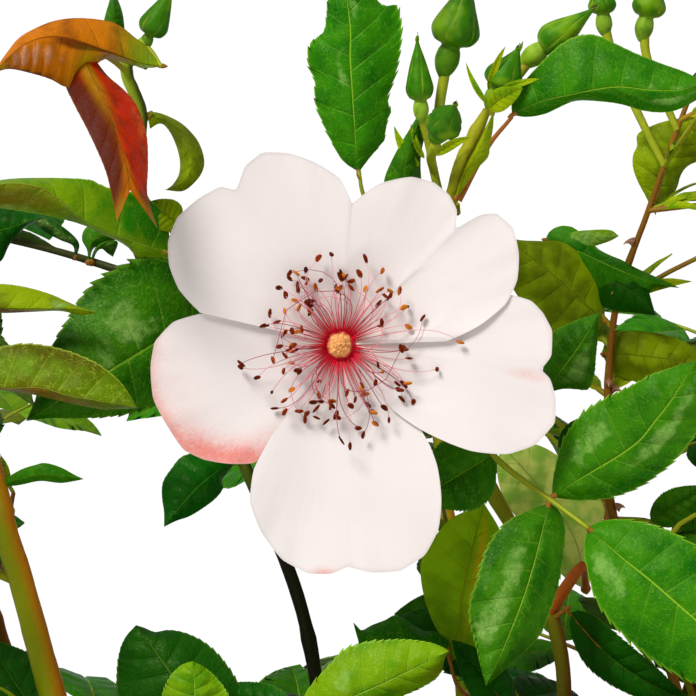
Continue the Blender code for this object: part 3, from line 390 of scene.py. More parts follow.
# Leaves that the picture shows, cane by cane: the stalk's points (u, v, behind), the first on the cane, and
# its leaflets. A leaflet has its joint on the stalk, its tip (u, v, behind), its width in picture points, its
# roll about the midrib in degrees, how far the midrib bows to its left in picture points, and its tone.
shownLeaves = {
    "left": [
        ([(-62, 300, 5), (-58, 372, 2), (-50, 378, 0)], [(1, (137, 408, -4), 76, 24, 12, "moss"),
         (0, (98, 313, 3), 62, 58, 4, "olive")]),
        ([(-4, 480, -2), (2, 484, -3)], [(1, (82, 480, -5), 26, 20, 8, "bright")]),
        ([(56, 742, -2), (60, 740, 4)], [(1, (-12, 640, 8), 78, -10, 0, "deep")]),
    ],
    "shoot": [
        ([(243, 462, 20), (232, 459, 18)], [(1, (165, 526, 12), 66, 12, -10, "deep")]),
        ([(196, 315, 19), (205, 318, 14)], [(1, (28, 418, 6), 136, 6, 4, "glossy")]),
        ([(176, 250, 16), (168, 252, 13)], [(1, (-62, 196, 2), 88, 16, 16, "bright")]),
        ([(190, 292, 19), (112, 268, 26), (60, 252, 26), (10, 240, 26), (-30, 232, 24)],
         [(3, (-36, 205, 22), 44, 20, 0, "deep"), (2, (35, 214, 26), 20, 30, 0, "deep"),
         (1, (128, 226, 27), 34, 20, 0, "leaf"), (4, (-92, 262, 24), 60, 10, 0, "deep"),
         (1, (96, 248, 28), 18, 20, 0, "leaf")]),
        ([(172, 232, 14), (186, 222, 15)], [(1, (148, 202, 15), 34, 10, 0, "olive")]),
        ([(148, 155, 8), (144, 190, -4), (139, 228, -10)], [(2, (64, 66, -20), 64, -14, -6, "wine")]),
        ([(146, 46, 2), (153, 54, -2), (161, 66, -5)], [(2, (-14, 78, -16), 68, 30, -38, "copper")]),
        ([(144, 116, 5), (152, 112, 4)], [(1, (169, 191, 2), 34, 40, 34, "olive")]),
        ([(127, 66, 3), (119, 58, 6)], [(1, (112, -14, 5), 26, 10, 0, "leaf")]),
    ],
    "buds": [
        ([(456, 330, 21), (470, 415, 18), (497, 459, 12), (552, 501, 6), (588, 528, 2)],
         [(2, (420, 500, 16), 76, 8, 0, "glossy"), (3, (480, 684, -4), 90, -14, 8, "leaf"),
         (3, (698, 360, -6), 98, 16, 6, "leaf"), (4, (772, 674, -10), 124, -6, 0, "leaf")]),
        ([(452, 300, 18), (400, 245, 13), (366, 200, 10), (359, 172, 9)],
         [(3, (344, -32, 6), 94, 0, -4, "leaf")]),
        ([(458, 200, 9), (487, 148, 8), (512, 117, 7)], [(2, (716, 94, 0), 86, 22, 22, "leaf")]),
        ([(450, 262, 13), (412, 240, 12)], [(1, (439, 118, 8), 60, 8, 0, "leaf")]),
        ([(455, 214, 9), (458, 204, 5)], [(1, (493, 108, 4), 28, 10, -4, "lime")]),
        ([(560, 726, 26), (508, 716, 29), (462, 692, 33), (448, 655, 31)],
         [(2, (484, 503, 31), 84, 6, 0, "shaded"), (3, (353, 628, 27), 48, 30, 8, "glossy"),
         (1, (452, 640, 24), 48, 20, 0, "deep")]),
        ([(557, 618, 25), (570, 607, 21)], [(1, (694, 702, 16), 52, 26, -10, "deep")]),
        ([(556, 612, 25), (582, 566, 20), (586, 590, 38)], [(2, (500, 440, 43), 76, 6, 0, "pale")]),
    ],
    "right": [
        ([(662, 168, 42), (656, 205, 47)], [(1, (696, 92, 46), 76, 8, 0, "olive")]),
        ([(608, 330, 42), (590, 300, 43), (574, 262, 44)], [(2, (624, 236, 42), 24, 10, 0, "bright"),
         (2, (682, 290, 38), 46, 24, 10, "leaf"), (1, (658, 314, 38), 42, 10, 0, "deep"),
         (0, (505, 236, 38), 84, 10, 6, "olive")]),
        ([(607, 430, 42), (560, 425, 28), (548, 393, 18)], [(2, (599, 317, 14), 64, 4, 0, "leaf"),
         (1, (600, 455, 30), 50, 20, 0, "deep")]),
        ([(608, 352, 42), (603, 356, 45)], [(1, (716, 372, 43), 50, 20, 10, "olive")]),
        ([(614, 520, 40), (652, 522, 50), (672, 540, 54)], [(1, (706, 486, 50), 40, 14, 0, "leaf"),
         (2, (740, 512, 54), 44, 14, 0, "leaf"), (2, (722, 590, 54), 54, 14, 0, "leaf")]),
    ],
    "low": [
        ([(318, 768, 6), (298, 718, 3), (232, 736, 7), (196, 742, 4)],
         [(1, (448, 650, -3), 82, -8, 12, "bright"), (2, (135, 622, 12), 96, 0, -8, "deep"),
         (3, (195, 661, 0), 68, 0, 0, "bright"), (1, (214, 688, 13), 46, 20, 0, "deep")]),
    ],
}

# Buds that the picture shows: the stalk's points, the first on the cane, then the hip and the bud's tip
# (u, v, behind), and the widths of hip and bud in picture points
shownBuds = {
    "shoot": [([(144, 50, 2)], (146, 42, 1), (173, -14, -2), (13, 30))],
    "buds": [
        ([(474, 156, 8), (448, 128, 8), (441, 95, 8)], (447, 60, 7), (470, -26, 4), (25, 49)),
        ([(448, 128, 8), (432, 138, 7)], (421, 110, 6), (417, 37, 5), (16, 28)),
        ([(470, 165, 8), (444, 150, 3)], (438, 134, 0), (456, 104, -12), (20, 36)),
        ([(489, 115, 8)], (494, 97, 8), (520, 46, 3), (20, 40)),
        ([(493, 108, 9), (512, 84, 12)], (533, 56, 12), (596, 7, 8), (22, 36)),
    ],
    "right": [
        ([(662, 165, 42), (640, 118, 43), (614, 60, 44)], (604, 24, 44), (600, -24, 44), (18, 30)),
        ([(676, 130, 42), (648, 62, 42)], (644, 28, 42), (656, -28, 42), (20, 36)),
    ],
}


# Outlines of the leaves nearest the eye, by cane, leaf and leaflet: the margin on their left, the midrib and
# the margin on their right, each as u, v, u, v and so on from base to tip, in picture points.
# lean: how many mm the left and right halves lean back. arch: mm.
# patches, painted light: (along, side from -1 right to 1 left, length, width, strength), a painted sheen
# above 0 and painted shade below.
# flushes: the same, for the second colour of the tone.
drawnLeaves = {
    ("left", 0, 0): {"left": [-50, 378, -30, 355, 0, 347, 30, 344, 60, 349, 90, 360, 110, 373, 125, 388,
        137, 408], "rib": [-50, 378, 0, 388, 40, 388, 70, 396, 105, 402, 137, 408], "right": [-50, 378,
        -20, 388, 10, 391, 40, 396, 70, 403, 100, 409, 120, 409, 137, 408], "toothed": 0.5, "lean": (4, 5),
        "patches": [(0.4, 0.95, 0.4, 0.25, -0.8)], "flushes": [(0.42, -0.6, 0.26, 0.6, 1.3)]},
    ("left", 0, 1): {"left": [-62, 300, -30, 286, 0, 284, 25, 287, 50, 294, 66, 301, 80, 307, 98, 313],
        "rib": [-62, 300, 0, 308, 40, 309, 75, 309, 98, 313], "right": [-62, 300, -30, 310, 0, 313, 30, 312,
        60, 311, 80, 315, 98, 313], "lean": (3, 4), "patches": [(0.72, 0.4, 0.1, 0.4, 0.9)],
        "flushes": [(0.4, -0.7, 0.16, 0.6, 1.2)], "toothed": 0.2},
    ("left", 1, 0): {"left": [0, 482, 20, 470, 35, 465, 45, 463, 60, 467, 75, 475, 84, 479], "rib": [0, 485,
        40, 475, 84, 479], "right": [2, 487, 20, 485, 40, 481, 60, 483, 75, 481, 84, 479], "tone": "leaf",
        "lean": (1, 2), "toothed": 0.3},
    ("shoot", 0, 0): {"left": [236, 462, 228, 472, 222, 480, 223, 488, 217, 497, 206, 506, 190, 516,
        176, 521, 164, 527], "rib": [236, 460, 212, 475, 190, 495, 164, 527], "right": [232, 455, 205, 452,
        183, 456, 172, 468, 163, 482, 162, 497, 164, 512, 164, 527], "lean": (3, 3), "toothed": 0.2,
        "patches": [(0.5, 0.5, 0.3, 0.4, 0.25)]},
    ("shoot", 1, 0): {"left": [205, 316, 200, 345, 185, 380, 160, 402, 137, 411, 110, 416, 80, 418, 50, 418,
        26, 421], "rib": [205, 316, 180, 328, 152, 345, 108, 372, 65, 398, 26, 421], "right": [205, 316,
        192, 285, 168, 262, 148, 258, 120, 268, 98, 282, 82, 297, 70, 318, 57, 338, 44, 368, 36, 398,
        26, 421], "lean": (3, 4), "patches": [(0.36, -0.4, 0.13, 0.34, 1.0), (0.52, -0.14, 0.05, 0.14, 0.9),
        (0.4, 0.5, 0.2, 0.4, -0.7), (0.3, -0.9, 0.3, 0.25, -0.8), (0.75, -0.6, 0.12, 0.3, -0.6)]},
    ("shoot", 2, 0): {"left": [168, 258, 150, 264, 137, 261, 131, 250, 118, 241, 104, 235, 88, 227, 70, 221,
        40, 214, 0, 208, -30, 206, -62, 196], "rib": [168, 253, 135, 242, 105, 232, 85, 222, 65, 206,
        45, 189, 20, 183, 0, 184, -30, 190, -62, 196], "right": [168, 248, 169, 230, 163, 212, 150, 200,
        130, 192, 105, 187, 90, 180, 60, 178, 25, 178, 0, 180, -30, 186, -62, 196], "lean": (5, 4),
        "patches": [(0.6, 0.92, 0.16, 0.16, 0.8), (0.12, -0.6, 0.16, 0.5, -0.9), (0.72, 0.4, 0.2, 0.1, 0.6)],
        "flushes": [(0.75, 0.55, 0.34, 0.5, 1.2), (0.5, 0.02, 0.24, 0.05, 0.9)], "toothed": 0.3},
    ("shoot", 3, 0): {"left": [-40, 238, -25, 212, 0, 207, 20, 210, 45, 217], "rib": [-40, 238, 0, 230,
        45, 217], "right": [-40, 238, -20, 262, 0, 262, 10, 244, 25, 228, 45, 217], "lean": (3, 3),
        "toothed": 0, "patches": [(0.6, 0.5, 0.3, 0.5, -0.6)], "flushed": -1, "thick": 1.0},
    ("shoot", 3, 1): {"left": [74, 258, 73, 246, 60, 240, 45, 232, 33, 221], "rib": [75, 258, 76, 246,
        62, 234, 46, 225, 33, 219], "right": [76, 258, 79, 243, 66, 229, 52, 221, 42, 217, 33, 219],
        "lean": (1, 1), "toothed": 0, "patches": [(0.5, 0, 1, 1, 0.8)]},
    ("shoot", 3, 2): {"left": [88, 263, 87, 250, 82, 240, 84, 230, 92, 224, 108, 222, 125, 228],
        "rib": [89, 263, 90, 250, 94, 240, 105, 233, 125, 228], "right": [90, 263, 92, 251, 98, 246,
        110, 243, 118, 237, 125, 228], "lean": (2, 2), "toothed": 0},
    ("shoot", 3, 4): {"left": [90, 263, 94, 250, 102, 241, 112, 240, 118, 243, 113, 257], "rib": [91, 263,
        95, 251, 104, 246, 113, 257], "right": [92, 263, 97, 252, 102, 249, 107, 253, 113, 257],
        "lean": (1, 1), "toothed": 0, "patches": [(0.5, 0, 1, 1, 0.7)]},
    ("shoot", 5, 0): {"left": [97, 62, 108, 76, 122, 88, 134, 101, 142, 118, 147, 138, 148, 165, 147, 190,
        150, 206, 158, 229], "rib": [80, 48, 92, 75, 104, 100, 115, 125, 123, 152, 128, 172, 130, 190],
        "right": [58, 55, 64, 82, 74, 104, 86, 127, 97, 150, 106, 172, 111, 192, 114, 206, 117, 222],
        "lean": (5, 6), "arch": 4, "toothed": 0.15, "stalk": [(127, 72, 3), (112, 60, -4), (92, 50, -9)],
        "patches": [(0.5, -0.7, 0.42, 0.6, -1.7), (0.35, 0.85, 0.2, 0.2, 0.7)],
        "flushes": [(0.06, -0.05, 0.4, 0.28, 1.2), (1.0, 0.9, 0.14, 0.6, 1.2), (1.0, -0.9, 0.14, 0.6, 1.2),
        (0.85, 0.0, 0.16, 0.3, 0.6)]},
    ("shoot", 6, 0): {"left": [163, 66, 150, 68, 135, 66, 120, 62, 106, 59, 95, 66, 80, 84, 66, 87, 50, 79,
        30, 73, 10, 69, -4, 72], "rib": [163, 66, 140, 63, 120, 56, 100, 49, 80, 42, 60, 37, 40, 38, 22, 46,
        8, 58, -4, 70], "right": [163, 66, 152, 54, 146, 46, 133, 36, 122, 27, 108, 21, 80, 18, 58, 20,
        40, 26, 20, 37, 8, 51, -4, 68], "lean": (6, 4), "arch": 5, "toothed": 0.1, "pleats": (13, 1.3),
        "patches": [(0.74, 0.45, 0.17, 0.4, 1.7), (0.8, 1.0, 0.3, 0.25, -1.0), (0.45, 0.08, 0.2, 0.1, -1.6)],
        "flushes": [(0.0, 0, 0.2, 2, 1.2), (1.0, 0.5, 0.1, 0.6, 0.6), (0.4, 0.6, 0.1, 0.5, 0.5)]},
    ("shoot", 7, 0): {"left": [148, 112, 160, 113, 178, 121, 190, 131, 199, 143, 204, 158, 203, 170,
        196, 181, 183, 191, 165, 190], "rib": [148, 118, 161, 119, 175, 127, 186, 142, 192, 158, 190, 172,
        182, 183, 165, 190], "right": [150, 129, 158, 124, 164, 125, 171, 134, 177, 148, 180, 162, 179, 174,
        174, 183, 170, 187, 165, 190], "lean": (3, 3), "toothed": 0.15,
        "patches": [(0.4, 0, 0.15, 0.5, 0.3)]},
    ("shoot", 8, 0): {"left": [103, 24, 106, 12, 109, 2, 112, -14], "rib": [114, 28, 114, 10, 112, -14],
        "right": [125, 32, 123, 15, 119, 2, 112, -14], "lean": (2, 2), "toothed": 0},
    ("buds", 0, 1): {"left": [549, 503, 560, 512, 565, 530, 563, 550, 560, 575, 555, 595, 549, 612, 541, 632,
        528, 648, 512, 662, 500, 674, 486, 686], "rib": [549, 503, 543, 528, 537, 553, 530, 578, 522, 602,
        512, 628, 500, 656, 486, 686], "right": [549, 503, 530, 510, 510, 520, 498, 532, 489, 545, 482, 563,
        477, 582, 471, 600, 470, 618, 475, 640, 480, 662, 486, 686], "lean": (3, 2), "thick": 0.75,
        "flushed": 0, "patches": [(0.42, -0.4, 0.3, 0.2, 1.1), (0.65, -0.7, 0.1, 0.28, 1.0),
        (0.35, 0.32, 0.26, 0.24, -0.8), (0.3, -0.85, 0.2, 0.2, -0.5)]},
    ("buds", 0, 2): {"left": [552, 497, 553, 480, 557, 462, 563, 442, 574, 424, 588, 410, 606, 399, 630, 387,
        650, 376, 672, 368, 697, 360], "rib": [552, 497, 575, 482, 600, 467, 620, 455, 640, 440, 655, 421,
        670, 402, 682, 383, 697, 360], "right": [552, 497, 575, 500, 600, 499, 622, 494, 640, 486, 658, 474,
        672, 462, 684, 449, 696, 432, 706, 405, 705, 380, 697, 360], "lean": (4, 2),
        "patches": [(0.6, -0.4, 0.3, 0.2, 1.1), (0.3, 0.5, 0.14, 0.3, 0.9), (0.62, 0.5, 0.2, 0.3, -0.7),
        (0.25, -0.75, 0.2, 0.25, -0.6)]},
    ("buds", 0, 3): {"left": [588, 528, 602, 521, 625, 520, 650, 525, 680, 537, 710, 560, 740, 600,
        772, 674], "rib": [588, 528, 620, 556, 650, 580, 680, 606, 720, 640, 772, 674], "right": [588, 528,
        584, 548, 588, 572, 596, 598, 612, 622, 632, 642, 652, 658, 672, 671, 700, 684, 740, 690, 772, 674],
        "lean": (3, 3), "patches": [(0.17, -0.6, 0.12, 0.34, 1.2), (0.3, -0.85, 0.2, 0.22, -0.7),
        (0.3, 0.75, 0.2, 0.25, -0.6)]},
    ("buds", 1, 0): {"left": [359, 172, 345, 163, 337, 152, 331, 140, 324, 125, 318, 110, 315, 95, 316, 82,
        310, 68, 308, 57, 312, 42, 324, 32, 327, 15, 328, 0, 336, -18, 344, -32], "rib": [359, 175, 356, 150,
        354, 120, 352, 90, 350, 60, 350, 30, 347, 0, 344, -32], "right": [359, 172, 368, 160, 376, 150,
        384, 140, 386, 124, 390, 112, 387, 98, 392, 84, 397, 66, 400, 46, 401, 30, 399, 14, 396, 5, 384, 6,
        374, -2, 360, -18, 344, -32], "lean": (3, 3), "patches": [(0.46, 0.2, 0.15, 0.12, 0.9),
        (0.78, -0.2, 0.12, 0.14, 0.7), (0.42, -0.45, 0.2, 0.3, -0.6), (0.75, 0.6, 0.1, 0.3, -0.4)]},
    ("buds", 2, 0): {"left": [512, 115, 512, 100, 522, 84, 540, 64, 560, 45, 578, 36, 595, 35, 612, 42,
        635, 53, 660, 63, 685, 72, 704, 82], "rib": [512, 115, 530, 106, 550, 99, 572, 95, 595, 90, 620, 87,
        650, 90, 680, 90, 704, 82], "right": [512, 115, 527, 117, 545, 114, 560, 107, 575, 101, 595, 101,
        620, 104, 645, 111, 668, 112, 686, 106, 696, 97, 704, 82], "lean": (4, 3), "toothed": 0.2,
        "flushed": 1.7, "patches": [(0.2, 0.45, 0.06, 0.5, -0.7), (0.4, 0.45, 0.05, 0.6, -0.5),
        (0.62, 0.3, 0.1, 0.3, -0.4), (0.78, -0.5, 0.14, 0.24, 1.1), (0.72, 0.1, 0.2, 0.14, 0.9),
        (0.75, -0.2, 0.14, 0.12, -1.0)]},
    ("buds", 3, 0): {"left": [398, 235, 386, 200, 384, 181, 391, 162, 401, 143, 412, 125, 424, 104],
        "rib": [412, 235, 404, 180, 409, 150, 424, 104], "right": [425, 235, 424, 200, 421, 175, 421, 155,
        425, 135, 428, 118, 424, 104], "lean": (2, 3), "toothed": 0.1,
        "patches": [(0.85, -0.2, 0.2, 0.8, -0.9)]},
    ("buds", 4, 0): {"left": [455, 198, 459, 183, 466, 166, 475, 149, 484, 131, 494, 110], "rib": [456, 198,
        464, 178, 474, 159, 484, 138, 494, 110], "right": [457, 199, 466, 185, 477, 169, 488, 157, 490, 144,
        493, 128, 494, 110], "lean": (1, 2), "toothed": 0.4, "arch": 0.5},
    ("buds", 5, 0): {"left": [450, 660, 442, 640, 432, 620, 425, 600, 421, 580, 421, 560, 428, 546, 440, 530,
        452, 518, 466, 511, 484, 503], "rib": [450, 660, 458, 630, 462, 600, 468, 570, 475, 540, 480, 520,
        484, 503], "right": [450, 660, 470, 655, 485, 640, 495, 615, 500, 590, 503, 565, 503, 545, 499, 528,
        484, 503], "lean": (3, 2), "toothed": 0, "flushes": [(0.6, -0.3, 0.4, 0.16, 1.0)],
        "patches": [(0.1, 0, 0.2, 1, -0.8)]},
    ("buds", 5, 1): {"left": [448, 655, 420, 662, 390, 660, 362, 650, 358, 640, 353, 622], "rib": [448, 650,
        420, 644, 390, 641, 368, 636, 353, 622], "right": [448, 640, 436, 632, 424, 631, 412, 624, 404, 619,
        395, 615, 385, 620, 372, 625, 361, 630, 353, 622], "lean": (3, 4), "toothed": 0},
    ("buds", 7, 0): {"left": [586, 590, 562, 575, 548, 548, 512, 512, 500, 488, 497, 464, 502, 447],
        "rib": [586, 590, 575, 540, 545, 495, 520, 465, 502, 447], "right": [586, 590, 592, 560, 600, 528,
        604, 506, 582, 480, 557, 455, 530, 443, 502, 447], "lean": (3, 3), "toothed": 0, "thick": 1.3,
        "flushed": 2.2},
    ("right", 0, 0): {"left": [652, 210, 646, 197, 638, 182, 633, 168, 633, 155, 637, 146, 637, 135,
        647, 128, 662, 122, 680, 118, 700, 112], "rib": [652, 210, 660, 185, 672, 158, 685, 135, 700, 112],
        "right": [652, 210, 665, 200, 676, 190, 681, 175, 688, 166, 700, 160, 712, 150, 712, 130, 700, 112],
        "lean": (2, 3), "toothed": 0},
    ("right", 1, 0): {"left": [556, 245, 570, 233, 590, 230, 610, 230, 619, 236], "rib": [556, 248, 580, 241,
        600, 238, 619, 236], "right": [556, 251, 575, 251, 595, 246, 610, 241, 619, 236], "lean": (1, 1),
        "toothed": 0, "patches": [(0.5, 0, 1, 1, 0.9)]},
    ("right", 1, 1): {"left": [545, 240, 550, 231, 560, 226, 572, 227, 582, 234, 592, 243, 600, 250,
        612, 256, 622, 260, 632, 266, 645, 272, 665, 281, 680, 288], "rib": [545, 240, 580, 252, 615, 268,
        650, 282, 680, 288], "right": [545, 240, 560, 262, 580, 285, 600, 300, 625, 306, 645, 299, 652, 289,
        665, 287, 680, 288], "lean": (3, 4), "toothed": 0.2, "patches": [(0.4, 0.3, 0.2, 0.4, -0.7),
        (0.32, 0.9, 0.05, 0.2, 0.7)]},
    ("right", 1, 2): {"left": [590, 270, 620, 262, 645, 275, 650, 295, 656, 316], "rib": [590, 270, 620, 285,
        640, 298, 656, 316], "right": [590, 270, 595, 300, 615, 311, 635, 313, 656, 316], "lean": (2, 3),
        "toothed": 0},
    ("right", 1, 3): {"left": [605, 322, 590, 335, 560, 335, 530, 312, 508, 280, 500, 255, 505, 236],
        "rib": [605, 322, 575, 295, 540, 265, 505, 236], "right": [605, 322, 603, 295, 590, 265, 565, 243,
        540, 241, 520, 240, 505, 236], "lean": (3, 3), "toothed": 0},
    ("right", 2, 0): {"left": [548, 393, 543, 375, 546, 352, 553, 333, 568, 324, 583, 318, 599, 313],
        "rib": [548, 393, 560, 372, 575, 352, 588, 332, 599, 313], "right": [548, 393, 562, 389, 575, 389,
        588, 389, 594, 375, 596, 355, 598, 335, 599, 313], "lean": (3, 2), "toothed": 0.6,
        "patches": [(0.45, -0.45, 0.28, 0.3, 0.95), (0.5, 0.5, 0.3, 0.4, -0.5)]},
    ("right", 3, 0): {"left": [603, 352, 606, 338, 615, 332, 640, 331, 665, 335, 690, 345, 716, 372],
        "rib": [603, 354, 640, 356, 680, 362, 716, 372], "right": [603, 356, 612, 372, 630, 380, 650, 385,
        680, 385, 716, 372], "lean": (3, 3), "toothed": 0},
    ("low", 0, 0): {"left": [298, 718, 300, 705, 308, 690, 320, 676, 335, 660, 345, 650, 365, 643, 385, 641,
        405, 640, 425, 642, 440, 646, 449, 651], "rib": [298, 718, 340, 702, 380, 685, 415, 668, 449, 651],
        "right": [298, 718, 330, 722, 370, 712, 400, 697, 420, 688, 435, 679, 442, 670, 444, 660, 449, 651],
        "lean": (3, 3), "patches": [(0.3, 0.55, 0.05, 0.45, 0.9)], "flushes": [(0.8, -0.8, 0.14, 0.4, 0.7)]},
    ("low", 0, 1): {"left": [215, 736, 170, 735, 130, 720, 118, 695, 117, 675, 119, 655, 125, 638, 136, 625],
        "rib": [215, 736, 190, 700, 165, 665, 136, 625], "right": [215, 736, 240, 720, 243, 695, 235, 678,
        222, 659, 205, 643, 185, 633, 168, 630, 155, 632, 145, 628, 136, 625], "lean": (3, 4),
        "toothed": 0.5},
    ("low", 0, 2): {"left": [196, 742, 168, 730, 162, 705, 165, 688, 172, 675, 182, 665, 193, 661],
        "rib": [196, 742, 195, 700, 193, 661], "right": [196, 742, 226, 725, 230, 705, 225, 690, 215, 677,
        204, 667, 193, 661], "lean": (2, 2)},
}


# Geometry


def smooth(points, steps):
    # A rounded line through the points, with so many steps between each two
    ends = [points[0] * 2 - points[1], *points, points[-1] * 2 - points[-2]]
    line = []
    for i in range(1, len(ends) - 2):
        a, b, c, d = ends[i - 1 : i + 3]
        for k in range(steps):
            t = k / steps
            bend = (a * 2 - b * 5 + c * 4 - d) * t**2 + (b * 3 - a - c * 3 + d) * t**3
            line.append((b * 2 + (c - a) * t + bend) * 0.5)
    return [*line, points[-1].copy()]


def spaced(line, step):
    # The line again, with points about one step apart
    lengths = [0.0]
    for a, b in zip(line, line[1:]):
        lengths.append(lengths[-1] + (b - a).length)
    count = max(1, round(lengths[-1] / step))
    result, i = [], 0
    for k in range(count + 1):
        target = lengths[-1] * k / count
        while i < len(line) - 2 and lengths[i + 1] < target:
            i += 1
        share = (target - lengths[i]) / max(lengths[i + 1] - lengths[i], 1e-9)
        result.append(line[i].lerp(line[i + 1], min(1.0, share)))
    return result


def across(direction, wanted):
    # The part of a wanted direction that is square to another
    found = wanted - direction * wanted.dot(direction)
    return found.normalized() if found.length > 1e-6 else direction.orthogonal().normalized()


def turned(vector, axis, degrees):
    return Quaternion(axis, math.radians(degrees)) @ vector


def tangents(line):
    found = [(b - a).normalized() for a, b in zip(line, line[2:])]
    return [(line[1] - line[0]).normalized(), *found, (line[-1] - line[-2]).normalized()]


def tube(line, radii, sides):
    # A closed tube along the line, as points and faces
    ways = tangents(line)
    side = ways[0].orthogonal().normalized()
    points, faces = [], []
    for centre, along, radius in zip(line, ways, radii):
        side = across(along, side)
        points += [centre + turned(side, along, 360 * k / sides) * radius for k in range(sides)]
    for i in range(len(line) - 1):
        for k in range(sides):
            j, n = i * sides, (k + 1) % sides
            faces.append((j + k, j + n, j + n + sides, j + k + sides))
    faces.append(tuple(reversed(range(sides))))
    faces.append(tuple(range(len(points) - sides, len(points))))
    return points, faces


def turnedShape(foot, axis, profile, sides):
    # A closed round shape on an axis, from (height, radius) pairs that start and end on it
    side = axis.orthogonal().normalized()
    points = [foot + axis * profile[0][0]]
    for height, radius in profile[1:-1]:
        points += [foot + axis * height + turned(side, axis, 360 * k / sides) * radius for k in range(sides)]
    points.append(foot + axis * profile[-1][0])
    faces, last = [], len(points) - 1
    for k in range(sides):
        n = (k + 1) % sides
        faces.append((0, 1 + n, 1 + k))
        for i in range(len(profile) - 3):
            j = 1 + i * sides
            faces.append((j + k, j + n, j + n + sides, j + k + sides))
        faces.append((last, last - sides + k, last - sides + n))
    return points, faces


def bladeLine(leaf, t):
    # A point of a leaflet's midrib, which arches back and may bow sideways
    hump = 4 * t * (1 - t)
    base, tip = leaf["base"], leaf["tip"]
    return base.lerp(tip, t) + leaf["normal"] * (leaf["arch"] * hump) + leaf["side"] * (leaf["bow"] * hump)


def outline(leaf):
    # The five far corners of a leaflet's outline: two on its right, its tip, and two on its left
    rows = []
    for t, share in ((0.36, 0.5), (0.72, 0.36)):
        half = leaf["width"] * share
        middle = bladeLine(leaf, t) + leaf["normal"] * leaf["fold"] * half
        rows.append((middle - leaf["side"] * half, middle + leaf["side"] * half))
    return [rows[0][0], rows[1][0], leaf["tip"], rows[1][1], rows[0][1]]


def blade(leaf, keel, root=0.0):
    # A leaflet as a closed solid of ten faces: its outline over one keel point
    base = leaf["base"].lerp(leaf["tip"], root / (leaf["tip"] - leaf["base"]).length)
    points = [base, *outline(leaf), bladeLine(leaf, 0.5) - leaf["normal"] * keel]
    upper = [(0, 1, 5), (5, 1, 2), (5, 2, 4), (4, 2, 3)]
    return points, upper + [(6, k, (k + 1) % 6) for k in range(6)]


# The plan: where each cane, leaf, bud and bloom is


def caneLine(cane):
    azimuth, distance = math.radians(cane["foot"][0]), cane["foot"][1] * mm
    foot = Vector((distance * math.cos(azimuth), distance * math.sin(azimuth), 0))
    foot.z = soilHeight(distance) + clear
    if "points" in cane:
        first = seen(*cane["points"][0])
        low = foot.lerp(first, 0.42)
        low.z += 6 * mm
        return rooted(foot, [low, *[seen(*p) for p in cane["points"]]])
    turn, reach, rise, bulge = cane["arch"]
    out = Vector((math.cos(math.radians(turn)), math.sin(math.radians(turn)), 0))
    tip = out * reach * mm + upward * (foot.z + rise * mm)
    middle = foot.lerp(tip, 0.4) + upward * max(bulge, bulge * 0.3) * rise * mm
    high = foot.lerp(tip, 0.75) + upward * bulge * rise * mm
    return rooted(foot, [middle, high, tip])


def rooted(foot, points):
    # A cane's line, which leaves its flat foot straight up
    line = spaced(smooth([foot, foot + upward * 9 * mm, *points], 8), caneRule["step"])
    return [foot, foot + upward * 3 * mm, *line[1:]]


def soilHeight(distance):
    return soil["top"] + soil["dome"] * (1 - min(1, distance / pot["mouthRadius"]) ** 2)


def caneRadii(cane, line):
    foot, tip = (r * mm for r in cane["radii"])
    last = len(line) - 1
    flare = [0.9 * mm if i == 0 else 0 for i in range(len(line))]
    return [foot + (tip - foot) * (i / last) ** 0.85 + flare[i] for i in range(len(line))]


def leaflet(base, tip, facing, width, roll=0.0, bow=0.0, arch=0.07, fold=0.12, tone="rule"):
    along = (tip - base).normalized()
    normal = turned(across(along, facing), along, roll)
    length = (tip - base).length
    return {
        "base": base, "tip": tip, "normal": normal, "side": normal.cross(along), "width": width,
        "bow": bow, "arch": arch * length, "fold": fold, "tone": tone,
    }


def nearest(line, point):
    # The place on a line of points that is nearest to a point
    best = line[0]
    for a, b in zip(line, line[1:]):
        share = max(0, min(1, (point - a).dot(b - a) / (b - a).length_squared))
        found = a.lerp(b, share)
        if (found - point).length < (best - point).length:
            best = found
    return best


def shownLeaf(leaf, line):
    # Its first point is moved onto its cane
    stalk = [seen(*p) for p in leaf[0]]
    stalk[0] = nearest(line, stalk[0])
    leaflets = []
    for joint, tip, width, roll, bow, tone in leaf[1]:
        back = stalk[joint - 1 if joint else 1] - stalk[joint]
        base = stalk[joint] + back.normalized() * leafRule["sunkRoot"]
        leaflets.append(leaflet(base, seen(*tip), -look, width * pixel, roll, bow * pixel, tone=tone))
    return {"stalk": stalk, "leaflets": leaflets, "shown": True}


